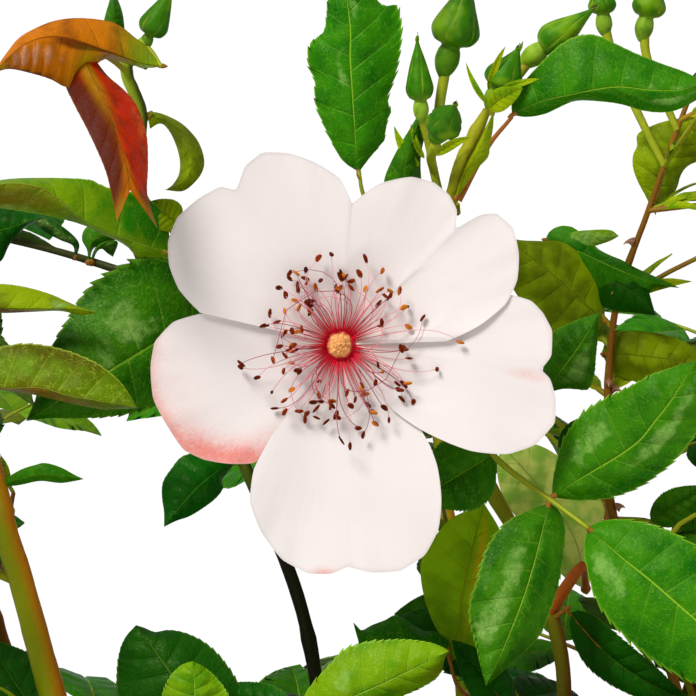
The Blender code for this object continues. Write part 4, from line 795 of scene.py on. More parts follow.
def ruleLeaf(draw, root, along, out, size, pairs):
    # A compound leaf: a stalk that leaves the cane and bends over, with leaflets in pairs and one at its end
    start = (out * 0.85 + along * draw.uniform(0.35, 0.75)).normalized()
    reach = leafRule["reach"] * size
    bend = (start + out * 0.35 - upward * draw.uniform(0.15, 0.5)).normalized()
    middle = root + start * reach * 0.42
    rest = reach * 0.58
    shares = [(k + 1) / (pairs + 1) for k in range(pairs + 1)]
    stalk = [root, middle, *[middle + bend * rest * s - upward * rest * 0.1 * s**2 for s in shares]]
    facing = upward * 0.9 + out * draw.uniform(0.1, 0.5)
    facing += Vector((draw.uniform(-0.3, 0.3), draw.uniform(-0.5, 0.1), 0))
    ends = tangents(stalk)
    leaflets = []
    for place in range(pairs + 1):
        joint = len(stalk) - 1 - pairs + place
        terminal = place == pairs
        base, heading = stalk[joint], ends[joint]
        normal = across(heading, facing)
        length = leafRule["length"] * size * (1.05 if terminal else 0.8 + 0.14 * place)
        for sign in (0,) if terminal else (1, -1):
            way = turned(heading, normal, sign * draw.uniform(56, 70))
            way = (way - upward * draw.uniform(0.02, 0.3)).normalized()
            width = length * leafRule["shape"] * draw.uniform(0.92, 1.08)
            found = leaflet(base, base + way * length, normal, width, roll=draw.uniform(-16, 16),
                            bow=draw.uniform(-0.04, 0.04) * length, arch=draw.uniform(0.03, 0.12))
            found["sign"] = sign
            leaflets.append(found)
    return {"stalk": stalk, "leaflets": leaflets, "facing": facing, "shown": False}


def shownBud(bud, line):
    points, hip, tip, widths = bud
    stalk = [seen(*p) for p in [*points, hip]]
    stalk[0] = nearest(line, stalk[0])
    return {"stalk": stalk, "tip": seen(*tip), "widths": [w * pixel for w in widths]}


def ruleBuds(draw, tip, along, count):
    # A small cluster of buds at a cane's tip
    found = []
    for k in range(count):
        lean = turned(across(along, upward), along, 360 * k / count + draw.uniform(-25, 25))
        way = (along * 1.3 + lean * (0.7 if count > 1 else 0.1) + upward * 0.5).normalized()
        reach, size = draw.uniform(13, 21) * mm, draw.uniform(0.75, 1.1)
        hip = tip + way * reach
        stalk = [tip - along * 2 * mm, tip + (along + way).normalized() * reach * 0.5, hip]
        end = hip + (way + upward * 0.2).normalized() * budRule["length"] * size
        widths = [budRule["hipWidth"] * size, budRule["width"] * size]
        found.append({"stalk": stalk, "tip": end, "widths": widths})
    return found


def bloomAt(centre, axis, spin, cup, name):
    right = turned(across(axis, pictureRight), axis, spin)
    top = axis.cross(right)
    return {"name": name, "centre": centre, "axis": axis, "right": right, "top": top, "cup": cup * mm}


def pointsOf(leaf):
    return [leaf["base"], *outline(leaf), bladeLine(leaf, 0.2), bladeLine(leaf, 0.85)]


def blocksView(leaf):
    # A leaf made by rule stays out of the picture's sky and behind what the picture shows
    for point in pointsOf(leaf):
        u, v, behind = picture(point)
        if all(-leafRule["margin"] < x < pictureSide + leafRule["margin"] for x in (u, v)):
            if behind < frontLayer or any(math.hypot(u - a, v - b) < r for a, b, r in openSky):
                return True
    return False


class Space:
    # What is already taken, so that nothing grows through anything else

    def __init__(self):
        self.taken = []

    @staticmethod
    def shape(points, faces):
        centre = sum(points, Vector()) / len(points)
        radius = max((p - centre).length for p in points)
        return centre, radius, BVHTree.FromPolygons(points, faces)

    def add(self, owner, points, faces):
        self.taken.append((owner, *self.shape(points, faces)))

    def free(self, points, faces, but=()):
        centre, radius, tree = self.shape(points, faces)
        for owner, other, reach, solid in self.taken:
            if owner not in but and (other - centre).length < radius + reach and tree.overlap(solid):
                return False
        return True


def potShape(grown):
    # The pot and its soil as one plain round body, for keeping leaves off it
    mouth, rimLow, top = pot["mouthRadius"] + grown, pot["height"] - pot["rimHeight"], pot["height"] + grown
    rim = mouth + pot["rimStep"]
    profile = [(0, 0), (0, pot["footRadius"] + grown), (rimLow, mouth), (rimLow, rim), (top, rim), (top, 0)]
    return turnedShape(Vector(), upward, profile, 32)


def bloomDisc(bloom):
    # A bloom as a plain thick disc, for keeping leaves off it
    edge, cup = bloomWidth * 0.53, bloom["cup"]
    low, high = -7 * mm, 7 * mm
    profile = [(low, 0), (low / 2, edge * 0.3), (cup - 4 * mm, edge), (cup + 4 * mm, edge)]
    return turnedShape(bloom["centre"], bloom["axis"], [*profile, (high, edge * 0.4), (high, 0)], 16)


def planPlant():
    space = Space()
    space.add("pot", *potShape(2 * mm))
    canes, blooms = {}, []
    for name, cane in {**shownCanes, **archedCanes}.items():
        line = caneLine(cane)
        radii = caneRadii(cane, line)
        split = round(cane["bare"] * (len(line) - 1))
        canes[name] = {"line": line, "radii": radii, "split": split, "leaves": [], "buds": [], "twigs": []}
        space.add("cane " + name, *tube(line, [r + 0.4 * mm for r in radii], 5))
    shown = shownBloom
    front = bloomAt(seen(*shown["picture"]), -look, shown["spin"], shown["cup"], shown["name"])
    blooms.append(front)
    space.add("front bloom", *bloomDisc(front))
    for name, bloom in otherBlooms.items():
        line = canes[name]["line"]
        out = Vector((line[-1].x, line[-1].y, 0)).normalized()
        out, tilt = turned(out, upward, bloom["turn"]), math.radians(bloom["tilt"])
        axis = out * math.sin(tilt) + upward * math.cos(tilt)
        found = bloomAt(line[-1] + axis * 12 * mm, axis, bloom["spin"], bloom["cup"], bloom["name"])
        blooms.append(found)
        space.add("bloom " + name, *bloomDisc(found))
    for name, cane in canes.items():
        leafy = cane["line"][cane["split"] + 1 :]
        cane["leaves"] = [shownLeaf(leaf, leafy) for leaf in shownLeaves.get(name, [])]
        cane["buds"] = [shownBud(bud, leafy) for bud in shownBuds.get(name, [])]
        for leaf in cane["leaves"]:
            addLeaf(space, name, leaf)
        for bud in cane["buds"]:
            space.add(name, *budTube(bud))
    for first, grow in ((900, growTip), (100, growLeaves)):
        for seed, (name, cane) in enumerate(canes.items()):
            grow(random.Random(first + seed), name, cane, space)
    return canes, blooms, space


def budTube(bud):
    return tube([bud["stalk"][-1], bud["tip"]], [bud["widths"][1] / 2] * 2, 6)


def growTip(draw, name, cane, space):
    # A cane with no bloom or shown buds at its end gets a small cluster of buds
    if name in otherBlooms or cane["buds"] or name == "low":
        return
    line = cane["line"]
    for bud in ruleBuds(draw, line[-1], tangents(line)[-1], draw.choice((2, 3))):
        if space.free(*budTube(bud), but=("cane " + name, name)):
            cane["buds"].append(bud)
            space.add(name, *budTube(bud))


def growLeaves(draw, name, cane, space):
    line, ways = cane["line"], tangents(cane["line"])
    turn = draw.uniform(0, 360)
    travelled = 0.0
    for i in range(cane["split"] + 1, len(line) - 1):
        travelled += (line[i] - line[i - 1]).length
        if travelled < leafRule["step"]:
            continue
        travelled -= leafRule["step"]
        turn += leafRule["turn"]
        for attempt in range(leafRule["tries"]):
            out = turned(across(ways[i], upward), ways[i], turn + draw.uniform(-30, 30) + 40 * attempt)
            size = draw.uniform(0.82, 1.08) * (1 - 0.04 * attempt)
            leaf = ruleLeaf(draw, line[i], ways[i], out, size, draw.choice((2, 2, 3)))
            kept = fitting(leaf, space)
            if len(kept) >= leafRule["fewest"] and kept[-1]["sign"] == 0 and stalkFits(leaf, name, space):
                leaf["leaflets"] = kept
                cane["leaves"].append(leaf)
                addLeaf(space, name, leaf)
                break


def addLeaf(space, name, leaf):
    for found in leaf["leaflets"]:
        space.add(name, *blade(found, leafRule["testKeel"]))
    space.add(name, *tube(leaf["stalk"], [leafRule["stalkRadius"]] * len(leaf["stalk"]), 3))


def fitting(leaf, space):
    # The leaflets of a leaf that are clear of everything, and of each other past their roots
    kept, own = [], []
    for found in leaf["leaflets"]:
        solid = blade(found, leafRule["testKeel"], leafRule["testGap"])
        tree = BVHTree.FromPolygons(*solid)
        if blocksView(found) or not space.free(*solid) or any(tree.overlap(other) for other in own):
            continue
        kept.append(found)
        own.append(tree)
    return kept


def stalkFits(leaf, name, space):
    line = leaf["stalk"]
    solid = tube([line[0].lerp(line[1], 0.2), *line[1:]], [leafRule["stalkRadius"] * 1.4] * len(line), 3)
    return not inFront(line) and space.free(*solid, but=("cane " + name,))


# Finer growth, in the scene alone: short side shoots and smaller leaves between those of the source

finer = {
    "perStep": 2, "leafSize": (0.7, 0.98), "tries": 5,
    "twigEvery": 2, "twigLength": (24, 46), "twigLeafSize": (0.52, 0.8), "twigRadius": 1.0 * mm,
}
# Small gaps of the picture, as discs of (u, v, radius), that the finer growth leaves open
finerSky = [
    (475, 500, 9), (512, 512, 8), (598, 505, 11), (628, 500, 8), (650, 520, 6), (580, 397, 8),
    (620, 384, 10), (685, 470, 9), (570, 592, 8), (445, 665, 7), (438, 680, 8), (88, 247, 6), (112, 262, 7),
    (57, 240, 5), (50, 640, 9), (32, 604, 12), (20, 560, 12), (12, 520, 9), (92, 684, 9),
]


def coversGap(leaf):
    # Whether a leaflet lies over one of the small gaps
    spots = [Vector(picture(p)[:2]) for p in (leaf["base"], *outline(leaf))]
    for u, v, radius in finerSky:
        gap, inside = Vector((u, v)), False
        for a, b in zip(spots, spots[1:] + spots[:1]):
            side = b - a
            share = min(1, max(0, (gap - a).dot(side) / max(side.length_squared, 1e-9)))
            if (a + side * share - gap).length < radius:
                return True
            if (a.y > v) != (b.y > v) and u < a.x + (v - a.y) / (b.y - a.y) * (b.x - a.x):
                inside = not inside
        if inside:
            return True
    return False


def inSky(points):
    spots = [picture(p) for p in points]
    return any(math.hypot(u - a, v - b) < r for u, v, _ in spots for a, b, r in openSky)


def insideBox(points):
    low, high = cadBox
    return all(low[k] < point[k] < high[k] for point in points for k in range(3))


def finerLeaf(draw, name, root, along, out, size, pairs, space):
    # One more leaf, if at least three of its leaflets fit
    leaf = ruleLeaf(draw, root, along, out, size, pairs)
    kept = [found for found in fitting(leaf, space) if insideBox(pointsOf(found)) and not coversGap(found)]
    whole = len(kept) >= leafRule["fewest"] and kept[-1]["sign"] == 0
    if not whole or inSky(leaf["stalk"]) or not stalkFits(leaf, name, space):
        return None
    leaf["leaflets"] = kept
    addLeaf(space, name, leaf)
    return leaf


def growFiner(draw, name, cane, space):
    line, ways = cane["line"], tangents(cane["line"])
    turn = draw.uniform(0, 360)
    for i in range(cane["split"] + 1, len(line) - 1):
        for k in range(finer["perStep"]):
            turn += leafRule["turn"]
            root = line[i].lerp(line[i + 1], k / finer["perStep"])
            for attempt in range(finer["tries"]):
                out = turned(across(ways[i], upward), ways[i], turn + 67 * attempt + draw.uniform(-25, 25))
                size = draw.uniform(*finer["leafSize"])
                leaf = finerLeaf(draw, name, root, ways[i], out, size, draw.choice((2, 2, 3)), space)
                if leaf:
                    cane["leaves"].append(leaf)
                    break
        if i % finer["twigEvery"] == 0:
            growTwig(draw, name, cane, line[i], ways[i], turn, space)


def growTwig(draw, name, cane, root, along, turn, space):
    # A side shoot that bends upwards, kept when it carries a leaf or more
    for attempt in range(finer["tries"]):
        out = turned(across(along, upward), along, turn + 90 + 71 * attempt)
        way = (out + along * draw.uniform(0.3, 0.7) + upward * 0.25).normalized()
        reach = draw.uniform(*finer["twigLength"]) * mm
        tip = root + (way + upward * 0.22) * reach
        line = spaced(smooth([root, root + way * reach * 0.5, tip], 5), 5 * mm)
        ends = [finer["twigRadius"]] * len(line)
        if inFront(line[1:]) or inSky(line) or not insideBox(line):
            continue
        solid = tube([line[0].lerp(line[1], 0.5), *line[1:]], ends, 4)
        if not space.free(*solid, but=("cane " + name,)):
            continue
        owner = f"twig {name} {len(cane['twigs'])}"
        shoots, ways, angle = [], tangents(line), draw.uniform(0, 360)
        for k in range(2, len(line), 2):
            angle += leafRule["turn"]
            size = draw.uniform(*finer["twigLeafSize"])
            side = turned(across(ways[k], upward), ways[k], angle)
            leaf = finerLeaf(draw, name, line[k], ways[k], side, size, draw.choice((1, 2, 2)), space)
            if leaf:
                shoots.append(leaf)
        if shoots:
            space.add(owner, *tube(line, ends, 4))
            cane["twigs"].append(line)
            cane["leaves"] += shoots
            return


# Leaves

leafForm = {
    "lean": 0.1,  # how far side veins run forward, of the leaf's length
    "tooth": 0.055,  # depth of a tooth, of the half width
    "hook": 0.5,  # how far a tooth points forward, of its length
    "veins": 7, "quilt": 0.5 * mm, "groove": 0.3 * mm, "recurve": 0.2, "wave": 0.06, "stalked": 0.035,
}
shownFineness = {"teeth": 24, "columns": (0, 0.04, 0.12, 0.27, 0.44, 0.6, 0.76, 0.9, 1)}
ruleFineness = {"teeth": 10, "columns": (0, 0.12, 0.6, 1)}
plainFineness = {"teeth": 3, "columns": (0, 1)}


def leafSheet(heap, leaf, fineness, draw, toothed=True):
    # One leaflet: a grid from base to tip. Its rows follow the side veins, and its margin has forward teeth.
    form, teeth, drawn = leafForm, fineness["teeth"], leaf.get("drawn", {})
    half = np.array(fineness["columns"])
    s = np.concatenate([-half[:0:-1], half])[None, :]
    size, margin = np.abs(s), np.abs(s) > 0.99
    t = np.append((np.arange(teeth)[:, None] + (0, 0.45, 0.85)).ravel() / teeth, 1.0)[:, None]
    bump = np.append(np.tile([0, 0.5, 1.0], teeth), 0)[:, None] * (0.65 + 0.7 * draw.random((len(t), 2)))
    bump = np.where(s < 0, bump[:, :1], bump[:, 1:]) * np.clip(np.minimum(t * 7, (1 - t) * 12), 0, 1)
    bump = bump * margin * drawn.get("toothed", 1) if toothed else 0 * s * t
    ends = np.clip(6 * np.minimum(t, 1 - t), 0, 1)
    at = t + form["lean"] * 4 * t * (1 - t) * size + (s < 0) * size * ends * 0.5 / teeth
    at = np.clip(at + form["hook"] * bump / teeth, 0, 1)
    if drawn:
        rib, edge, width = drawnRows(drawn, s, at)
    else:
        width = leaf["width"] / 2 * at**0.6 * (1 - at) ** 0.95 / 0.355
    out = s * width * (1 + form["tooth"] * bump)
    ridge = np.abs(np.sin(np.pi * (t * form["veins"] + 0.5 * (s < 0))))
    swell = np.sin(np.pi * size**0.8) * np.clip(width / (6 * mm), 0, 1)
    lift = form["quilt"] * ridge**0.8 * swell - form["groove"] * np.exp(-((out / (0.7 * mm)) ** 2)) * ends
    turns = draw.random(4)
    for sign, k in ((-1, 0), (1, 1)):
        wave = np.sin(2 * np.pi * (t * (1.2 + turns[k + 2]) + turns[k]))
        lift = lift + (s * sign > 0) * form["wave"] * width * size**2 * wave
    chance = draw.random()
    if drawn:
        pleats, deep = drawn.get("pleats", (0, 0))
        lift = lift + deep * mm * np.sin(2 * np.pi * pleats * t) * (s > 0) * size * np.clip(t * 3 - 1.2, 0, 1)
        points = drawnPoints(leaf, drawn, rib, edge, s, at, size * (1 + form["tooth"] * bump), lift)
    else:
        lift = lift + width * (leaf["fold"] * 1.6 * size - form["recurve"] * size**2)
        points = plainPoints(leaf, t, at, out, lift)
    # The painted light of the leaflet, painted sheen above 0 and painted shade below, and its flush of the
    # second colour
    pale, flush = (patchOf(drawn.get(kind, ()), s, t) for kind in ("patches", "flushes"))
    # The painted sheen is broken up along the pleats
    if "pleats" in drawn:
        folds = np.sin(2 * np.pi * (drawn["pleats"][0] * t + 0.4 * s) + 1 + 2 * np.sin(7 * t))
        pale = np.where(pale > 0, pale * (0.62 + 0.38 * folds), pale)
    heap.grid(points, (s, t, chance, pale, flush), flip=True)


def plainPoints(leaf, t, at, out, lift):
    # A leaflet with the usual outline, which may arch, bow, twist and curl
    base, tip, normal, side = (array(leaf[key]) for key in ("base", "tip", "normal", "side"))
    axis, hump = tip - base, 4 * at * (1 - at)
    twist = np.radians(leaf.get("twist", 0)) * (t - 0.35)
    ownSide = side * np.cos(twist)[..., None] + normal * np.sin(twist)[..., None]
    ownNormal = normal * np.cos(twist)[..., None] - side * np.sin(twist)[..., None]
    along = leafForm["stalked"] + (1 - leafForm["stalked"]) * at
    middle = base + axis * along[..., None] + normal * (leaf["arch"] * hump)[..., None]
    middle = middle + side * (leaf["bow"] * hump)[..., None]
    curl = leaf.get("curl", 0) * np.linalg.norm(axis) * np.clip(at - 0.5, 0, 1) ** 2
    return middle + ownSide * out[..., None] + ownNormal * (lift - curl)[..., None]


def pickedAlong(line, share):
    # Picture points at shares of the length of a rounded line
    spots = [Vector((u, v, 0)) for u, v in zip(line[::2], line[1::2])]
    curve = np.array([tuple(p) for p in smooth(spots, 6)])
    far = np.insert(np.cumsum(np.linalg.norm(np.diff(curve, axis=0), axis=1)), 0, 0)
    return np.stack([np.interp(share * far[-1], far, curve[:, k]) for k in (0, 1)], -1)


def drawnRows(drawn, s, at):
    # For each point of the grid: the midrib and the margin beside it, in picture points, and the half width
    rib = pickedAlong(drawn["rib"], at)
    edge = np.where(s[..., None] > 0, pickedAlong(drawn["left"], at), pickedAlong(drawn["right"], at))
    return rib, edge, np.linalg.norm(edge - rib, axis=-1) * pixel


def drawnPoints(leaf, drawn, rib, edge, s, at, reach, lift):
    # A leaflet whose outline is read off the picture; its halves lean back from the midrib by so many mm
    spots = rib + (edge - rib) * reach[..., None]
    near, far = (picture(leaf[key])[2] / mm for key in ("base", "tip"))
    hump = 4 * at * (1 - at)
    lean = np.where(s > 0, drawn["lean"][0], drawn["lean"][1]) * (0.7 * reach + 0.3 * reach**2)
    behind = near + (far - near) * at - drawn.get("arch", 2.0) * hump + lean * hump**0.5
    deep = viewDistance + behind * mm - lift
    spread = pixel * deep / viewDistance
    side, up = (spots[..., 0] - pictureMiddle) * spread, (pictureMiddle - spots[..., 1]) * spread
    ways = ((deep, look), (side, pictureRight), (up, pictureUp))
    return array(eye) + sum(far[..., None] * array(way) for far, way in ways)


def patchOf(patches, s, t):
    # The soft patches of a leaflet, added up
    total = 0 * s * t
    for along, side, long, wide, strength in patches:
        total = total + strength * np.exp(-(((t - along) / long) ** 2) - ((s - side) / wide) ** 2)
    return total


def roundTube(heap, line, radii, sides, chance=0.5, relief=None):
    # A round stem along a line, closed at its end; its places are round, along in metres, and the chance
    ways = tangents(line)
    side = ways[0].orthogonal().normalized()
    angles = fullTurn(sides)
    rings, places, travelled = [], [], 0.0
    for k, (centre, way, radius) in enumerate(zip(line, ways, radii)):
        side = across(way, side)
        ring = roundWays(angles, side, way.cross(side))
        grown = radius * (1 + (relief[k] if relief is not None else 0))
        rings.append(array(centre) + ring * np.reshape(grown * np.ones(sides), (-1, 1)))
        travelled += (line[k] - line[k - 1]).length if k else 0
        places.append(np.stack([angles / (2 * np.pi), np.full(sides, travelled), np.full(sides, chance)], 1))
    end = array(line[-1] + ways[-1] * radii[-1] * 0.6)
    points = np.vstack([*rings, end])
    places = np.vstack([*places, places[-1][:1]])
    last = len(points) - 1
    caps = [(last - sides + k, last - sides + (k + 1) % sides, last) for k in range(sides)]
    heap.add(points, places, gridFaces(len(line), sides, around=True), caps)


def ribLine(leaf):
    # Points of a leaflet's midrib, just behind its blade
    drawn, under = leaf.get("drawn"), leafForm["groove"] + 0.12 * mm
    if not drawn:
        line = [bladeLine(leaf, t) for t in (0, 0.05, 0.3, 0.7)]
        return [line[0], *[p - leaf["normal"] * under for p in line[1:]]]
    near, far = (picture(leaf[key])[2] / mm for key in ("base", "tip"))
    line = []
    for t in (0, 0.04, 0.12, 0.25, 0.4, 0.55, 0.7):
        u, v = pickedAlong(drawn["rib"], t)
        behind = near + (far - near) * t - drawn.get("arch", 2.0) * 4 * t * (1 - t)
        line.append(seen(u, v, behind + min(1, t * 20) * (under / mm + 0.5)))
    return line


def petiole(heap, leaf, draw):
    # The stalk of a leaf, with a fine rib under each leaflet
    line = smooth([p.copy() for p in leaf["stalk"]], 4 if leaf["shown"] else 2)
    count = len(line)
    thick = leaf.get("thick", 0.62 if leaf["shown"] else 0.6)
    radii = [thick * (1 - 0.4 * k / (count - 1)) * mm for k in range(count)]
    chance = draw.random()
    roundTube(heap, line, radii, 6, leaf.get("flushed", chance))
    for found in leaf["leaflets"]:
        length = (found["tip"] - found["base"]).length
        rib, size = ribLine(found), min(1.2, length / (36 * mm))
        if leaf["shown"]:
            joint = [rib[0].lerp(rib[1], share) for share in (-0.7, -0.4, 0, 0.5, 1)]
            roundTube(heap, joint, [s * thick * mm for s in (0.04, 0.5, 0.82, 0.75, 0.3)], 6, 1.3)
        roundTube(heap, rib, np.linspace(0.45, 0.15, len(rib)) * size * mm, 4, chance)


stipule = {"length": 0.24, "width": 2.6 * mm, "tail": 0.3}


def stipules(heap, leaf, draw):
    # The two narrow wings along the foot of a leaf stalk
    foot, ahead = leaf["stalk"][0], leaf["stalk"][1]
    way = (ahead - foot).normalized()
    length = stipule["length"] * leafRule["reach"] * (0.7 + 0.4 * draw.random())
    facing = across(way, leaf.get("facing", -look))
    for sign in (1, -1):
        out = way.cross(facing) * sign
        tip = foot + way * length + out * length * stipule["tail"]
        root = foot + way * 1.5 * mm
        wing = leaflet(root, tip, facing, stipule["width"], 20 * sign, sign * 0.6 * mm, fold=0.2)
        leafSheet(heap, wing, plainFineness, draw, toothed=False)


leafTones = {
    # Colour above, colour below, midrib, second colour above, and roughness
    "deep": ((10, 84, 0), (84, 118, 40), (84, 130, 30), (70, 74, 10), 0.4),
    "glossy": ((46, 116, 0), (88, 122, 44), (110, 164, 30), (96, 90, 10), 0.36),
    "leaf": ((50, 120, 0), (98, 136, 50), (136, 182, 40), (104, 104, 20), 0.38),
    "bright": ((114, 152, 0), (112, 148, 52), (158, 202, 60), (120, 110, 16), 0.38),
    "lime": ((158, 176, 4), (150, 172, 50), (180, 184, 24), (190, 110, 10), 0.5),
    "olive": ((132, 154, 0), (112, 130, 40), (136, 148, 24), (112, 70, 4), 0.5),
    # A lime leaf that lies in the shade of others, painted far brighter to stand in for the light that shines
    # through it
    "shaded": ((160, 216, 0), (126, 156, 60), (180, 190, 20), (230, 210, 10), 0.5),
    "moss": ((92, 124, 0), (112, 130, 40), (186, 198, 66), (118, 86, 0), 0.42),
    # A pale leaf behind the others, painted lighter than its own colour as painted light against the shade it
    # lies in
    "pale": ((236, 250, 120), (140, 160, 96), (214, 214, 110), (120, 110, 30), 0.6),
    "copper": ((196, 106, 2), (168, 104, 66), (128, 56, 4), (132, 158, 10), 0.45),
    "wine": ((204, 48, 4), (158, 78, 50), (180, 100, 20), (156, 108, 2), 0.42),
}
# Painted sheen colours of some tones, painted where their gloss catches the light
paintedSheenOf = {"copper": (206, 150, 124), "wine": (250, 120, 44)}
# Colours of the dark blotches and of the painted shade of some tones
blotchAndPaintedShadeOf = {
    "copper": (108, 42, 0), "wine": (98, 22, 0), "olive": (72, 82, 0), "lime": (120, 150, 0),
    "moss": (76, 78, 0), "shaded": (120, 170, 0),
}
ruleTones = (("deep", 26), ("glossy", 20), ("leaf", 34), ("bright", 14), ("olive", 4), ("lime", 2))
leafSurface = {
    "broad": 90, "pucker": 240, "mottle": 620, "net": 1200, "netDepth": 0.14, "veinDepth": 0.26 * mm,
    # How clearly the net of small veins and the side veins show
    "netted": {
        "olive": (0.03, 0.04), "lime": (0.03, 0.1), "bract": (0.03, 0.1), "shaded": (0.03, 0.03),
        "pale": (0.03, 0.03), "copper": (0.04, 0.04), "wine": (0.04, 0.04), "moss": (0.4, 0.26),
        "glossy": (0.5, 0.3), "deep": (0.1, 0.08),
    },
    # pale: the painted sheen colour. darker: shares of the colour above, for the dark blotches and the
    # painted shade
    "specular": 0.16, "tint": (0.8, 1.0, 0.4, 1.0), "pale": (150, 192, 94), "darker": (0.3, 0.76, 0),
}


def leafFinish(name, tone):
    form = leafSurface
    above, below, midrib, second, rough = tone
    finish = Finish("leaf_" + name, {"Specular IOR Level": form["specular"], "Specular Tint": form["tint"]})
    place, patch = finish.place(), finish.place("patch")
    side, along, chance = abs(place), place.out("Y"), place.out("Z")
    isLeft = finish.node("ShaderNodeMath", {"operation": "LESS_THAN"}, {0: place, 1: 0.0})
    count = along * leafForm["veins"] + isLeft * 0.5
    beat = count.maths("PINGPONG", count, 0.5)
    rib = 1 - finish.rise(side, 0.006, 0.034)
    lateral = (1 - finish.rise(beat + side * 0.03, 0.01, 0.07)) * (1 - side * 0.6)
    net = 1 - finish.rise(finish.cells(form["net"]), 0.0, 0.1)
    broad, mottle = finish.noise(form["broad"], 3.0, 0.6), finish.noise(form["mottle"], 4.0, 0.65)
    pucker = finish.noise(form["pucker"], 2.0, 0.5)
    # The colour of the dark blotches and the painted shade, and the colour of the painted sheen
    dark = blotchAndPaintedShadeOf.get(name, tuple(c * share for c, share in zip(above, form["darker"])))
    pale = paintedSheenOf.get(name, form["pale"])
    # Dark blotches from broad noise, and painted shade where the patches are below 0
    shadow = finish.rise(broad * 0.55 + pucker * 0.45, 0.44, 0.6) * 0.6 + finish.rise(patch * -1, 0.0, 0.9)
    upper = finish.mix(finish.node("ShaderNodeClamp", {}, {"Value": shadow}), above, dark)
    upper = finish.mix(finish.rise(patch.out("Y"), 0.0, 1.0), upper, second)
    netted, veined = form["netted"].get(name, (0.24, 0.16))
    veins = net * finish.rise(mottle, 0.4, 0.62) * netted + lateral * veined
    upper = finish.mix(veins, upper, midrib)
    # A painted sheen where the patches are above 0, broken up by the mottle and the net
    brokenSheen = patch + (mottle + pucker * 1.2 - 1.1) * 1.7
    paintedSheen = finish.rise(brokenSheen, 0.2, 1.2) * finish.rise(patch, 0.1, 0.5) * (0.58 - net * 0.25)
    upper = finish.mix(paintedSheen, upper, pale)
    upper = finish.mix(rib * 0.85, upper, midrib)
    upper = finish.mix(finish.rise(side, 0.95, 1.0) * 0.5, upper, midrib)
    under = finish.mix(rib * 0.6 + lateral * 0.3, below, midrib)
    behind = finish.node("ShaderNodeNewGeometry", {}, {}, "Backfacing")
    colour = finish.vary(finish.mix(behind, upper, under), 0.494 + chance * 0.012, 0.88 + chance * 0.24)
    finish.feed("Base Color", colour)
    finish.feed("Roughness", rough + behind * 0.22 + mottle * 0.16 - 0.08)
    bumps = net * form["netDepth"] - rib * 0.8 - lateral * 0.5 + mottle * 0.8 + pucker * 1.6
    finish.relief(bumps, form["veinDepth"])
    return finish


def stalkFinish(flushed=0.3):
    # Stalks of leaves, buds and blooms: yellow-green, with a red flush
    finish = Finish("stalk", {"Roughness": 0.5, "Specular IOR Level": 0.25})
    place = finish.place()
    flush = finish.rise(finish.noise(60, 2.0) + place.out("Z") * 0.5, 0.95 - flushed, 1.3 - flushed)
    green = finish.mix(finish.noise(400), (176, 182, 26), (126, 144, 16))
    green = finish.mix(finish.rise(place.out("Z") * -1, 0.2, 0.8), green, (58, 62, 10))
    red = finish.mix(finish.rise(place.out("Z"), 1.5, 2.0), (160, 84, 22), (196, 64, 10))
    finish.feed("Base Color", finish.mix(flush * 0.85, green, red))
    finish.relief(finish.noise(1500, 2.0), 0.1 * mm)
    return finish


def leafletCount(canes):
    return sum(len(leaf["leaflets"]) for cane in canes.values() for leaf in cane["leaves"])


def drawShownLeaves(canes):
    # Gives the leaves nearest the eye their own outlines, and some their own stalk
    for (name, number, part), drawn in drawnLeaves.items():
        leaf = canes[name]["leaves"][number]
        leaf["leaflets"][part]["drawn"] = drawn
        for key in ("thick", "flushed"):
            if key in drawn:
                leaf[key] = drawn[key]
        leaf["leaflets"][part]["tone"] = drawn.get("tone", leaf["leaflets"][part]["tone"])
        if "stalk" in drawn:
            leaf["stalk"] = [seen(*p) for p in drawn["stalk"]]


def makeFoliage(canes):
    draw = np.random.default_rng(7)
    choices, weights = zip(*ruleTones)
    weights = np.array(weights) / sum(weights)
    heaps = {tone: Heap() for tone in leafTones}
    stalks, wings = Heap(), Heap()
    for cane in canes.values():
        for leaf in cane["leaves"]:
            common = str(draw.choice(choices, p=weights))
            petiole(stalks, leaf, draw)
            if not leaf["shown"]:
                stipules(wings, leaf, draw)
            for found in leaf["leaflets"]:
                tone = found["tone"] if leaf["shown"] else common
                if not leaf["shown"]:
                    found["twist"], found["curl"] = draw.uniform(-16, 16), draw.uniform(0, 0.35)
                leafSheet(heaps[tone], found, shownFineness if leaf["shown"] else ruleFineness, draw)
    foliage = ["foliage_" + name for name in canes]
    for tone, heap in heaps.items():
        heap.piece("leaves_" + tone, leafFinish(tone, leafTones[tone]), "foliage", *foliage)
    stalks.piece("leaf_stalks", stalkFinish(), "foliage", *foliage)
    wings.piece("stipules", leafFinish("stipule", leafTones["lime"]), "foliage", *foliage)


# Canes

caneForm = {
    "sides": 12, "steps": 7, "swell": 0.22, "nodeEvery": 25 * mm, "relief": 0.035,
    "prickleLength": 2.6 * mm, "prickleBase": 1.1 * mm,
}
caneTones = {
    # Young bark, old bark, and the flush on the side that faces right
    "green": {"young": (130, 136, 0), "old": (112, 124, 0), "flush": (190, 104, 6)},
    "red": {"young": (136, 92, 20), "old": (86, 62, 8), "flush": (148, 72, 24)},
    "dark": {"young": (156, 158, 24), "old": (78, 62, 2), "flush": (124, 52, 4), "fading": 0.66},
    # The shoot behind the bloom: fresh green at its tip, and near black below it, which is painted shade
    "freshWithPaintedShade": {"young": (146, 172, 36), "old": (5, 7, 0), "flush": (12, 14, 0), "fleck": 0.02,
              "ages": (0.72, 0.9)},
}
caneToneOf = {
    "shoot": "freshWithPaintedShade", "right": "red", "right_back": "red", "back_left": "red", "left_back": "dark",
    "buds": "dark",
}
# How much slimmer the fine stem is than the solid one, at its tip
slimmer = {"right": 0.42}
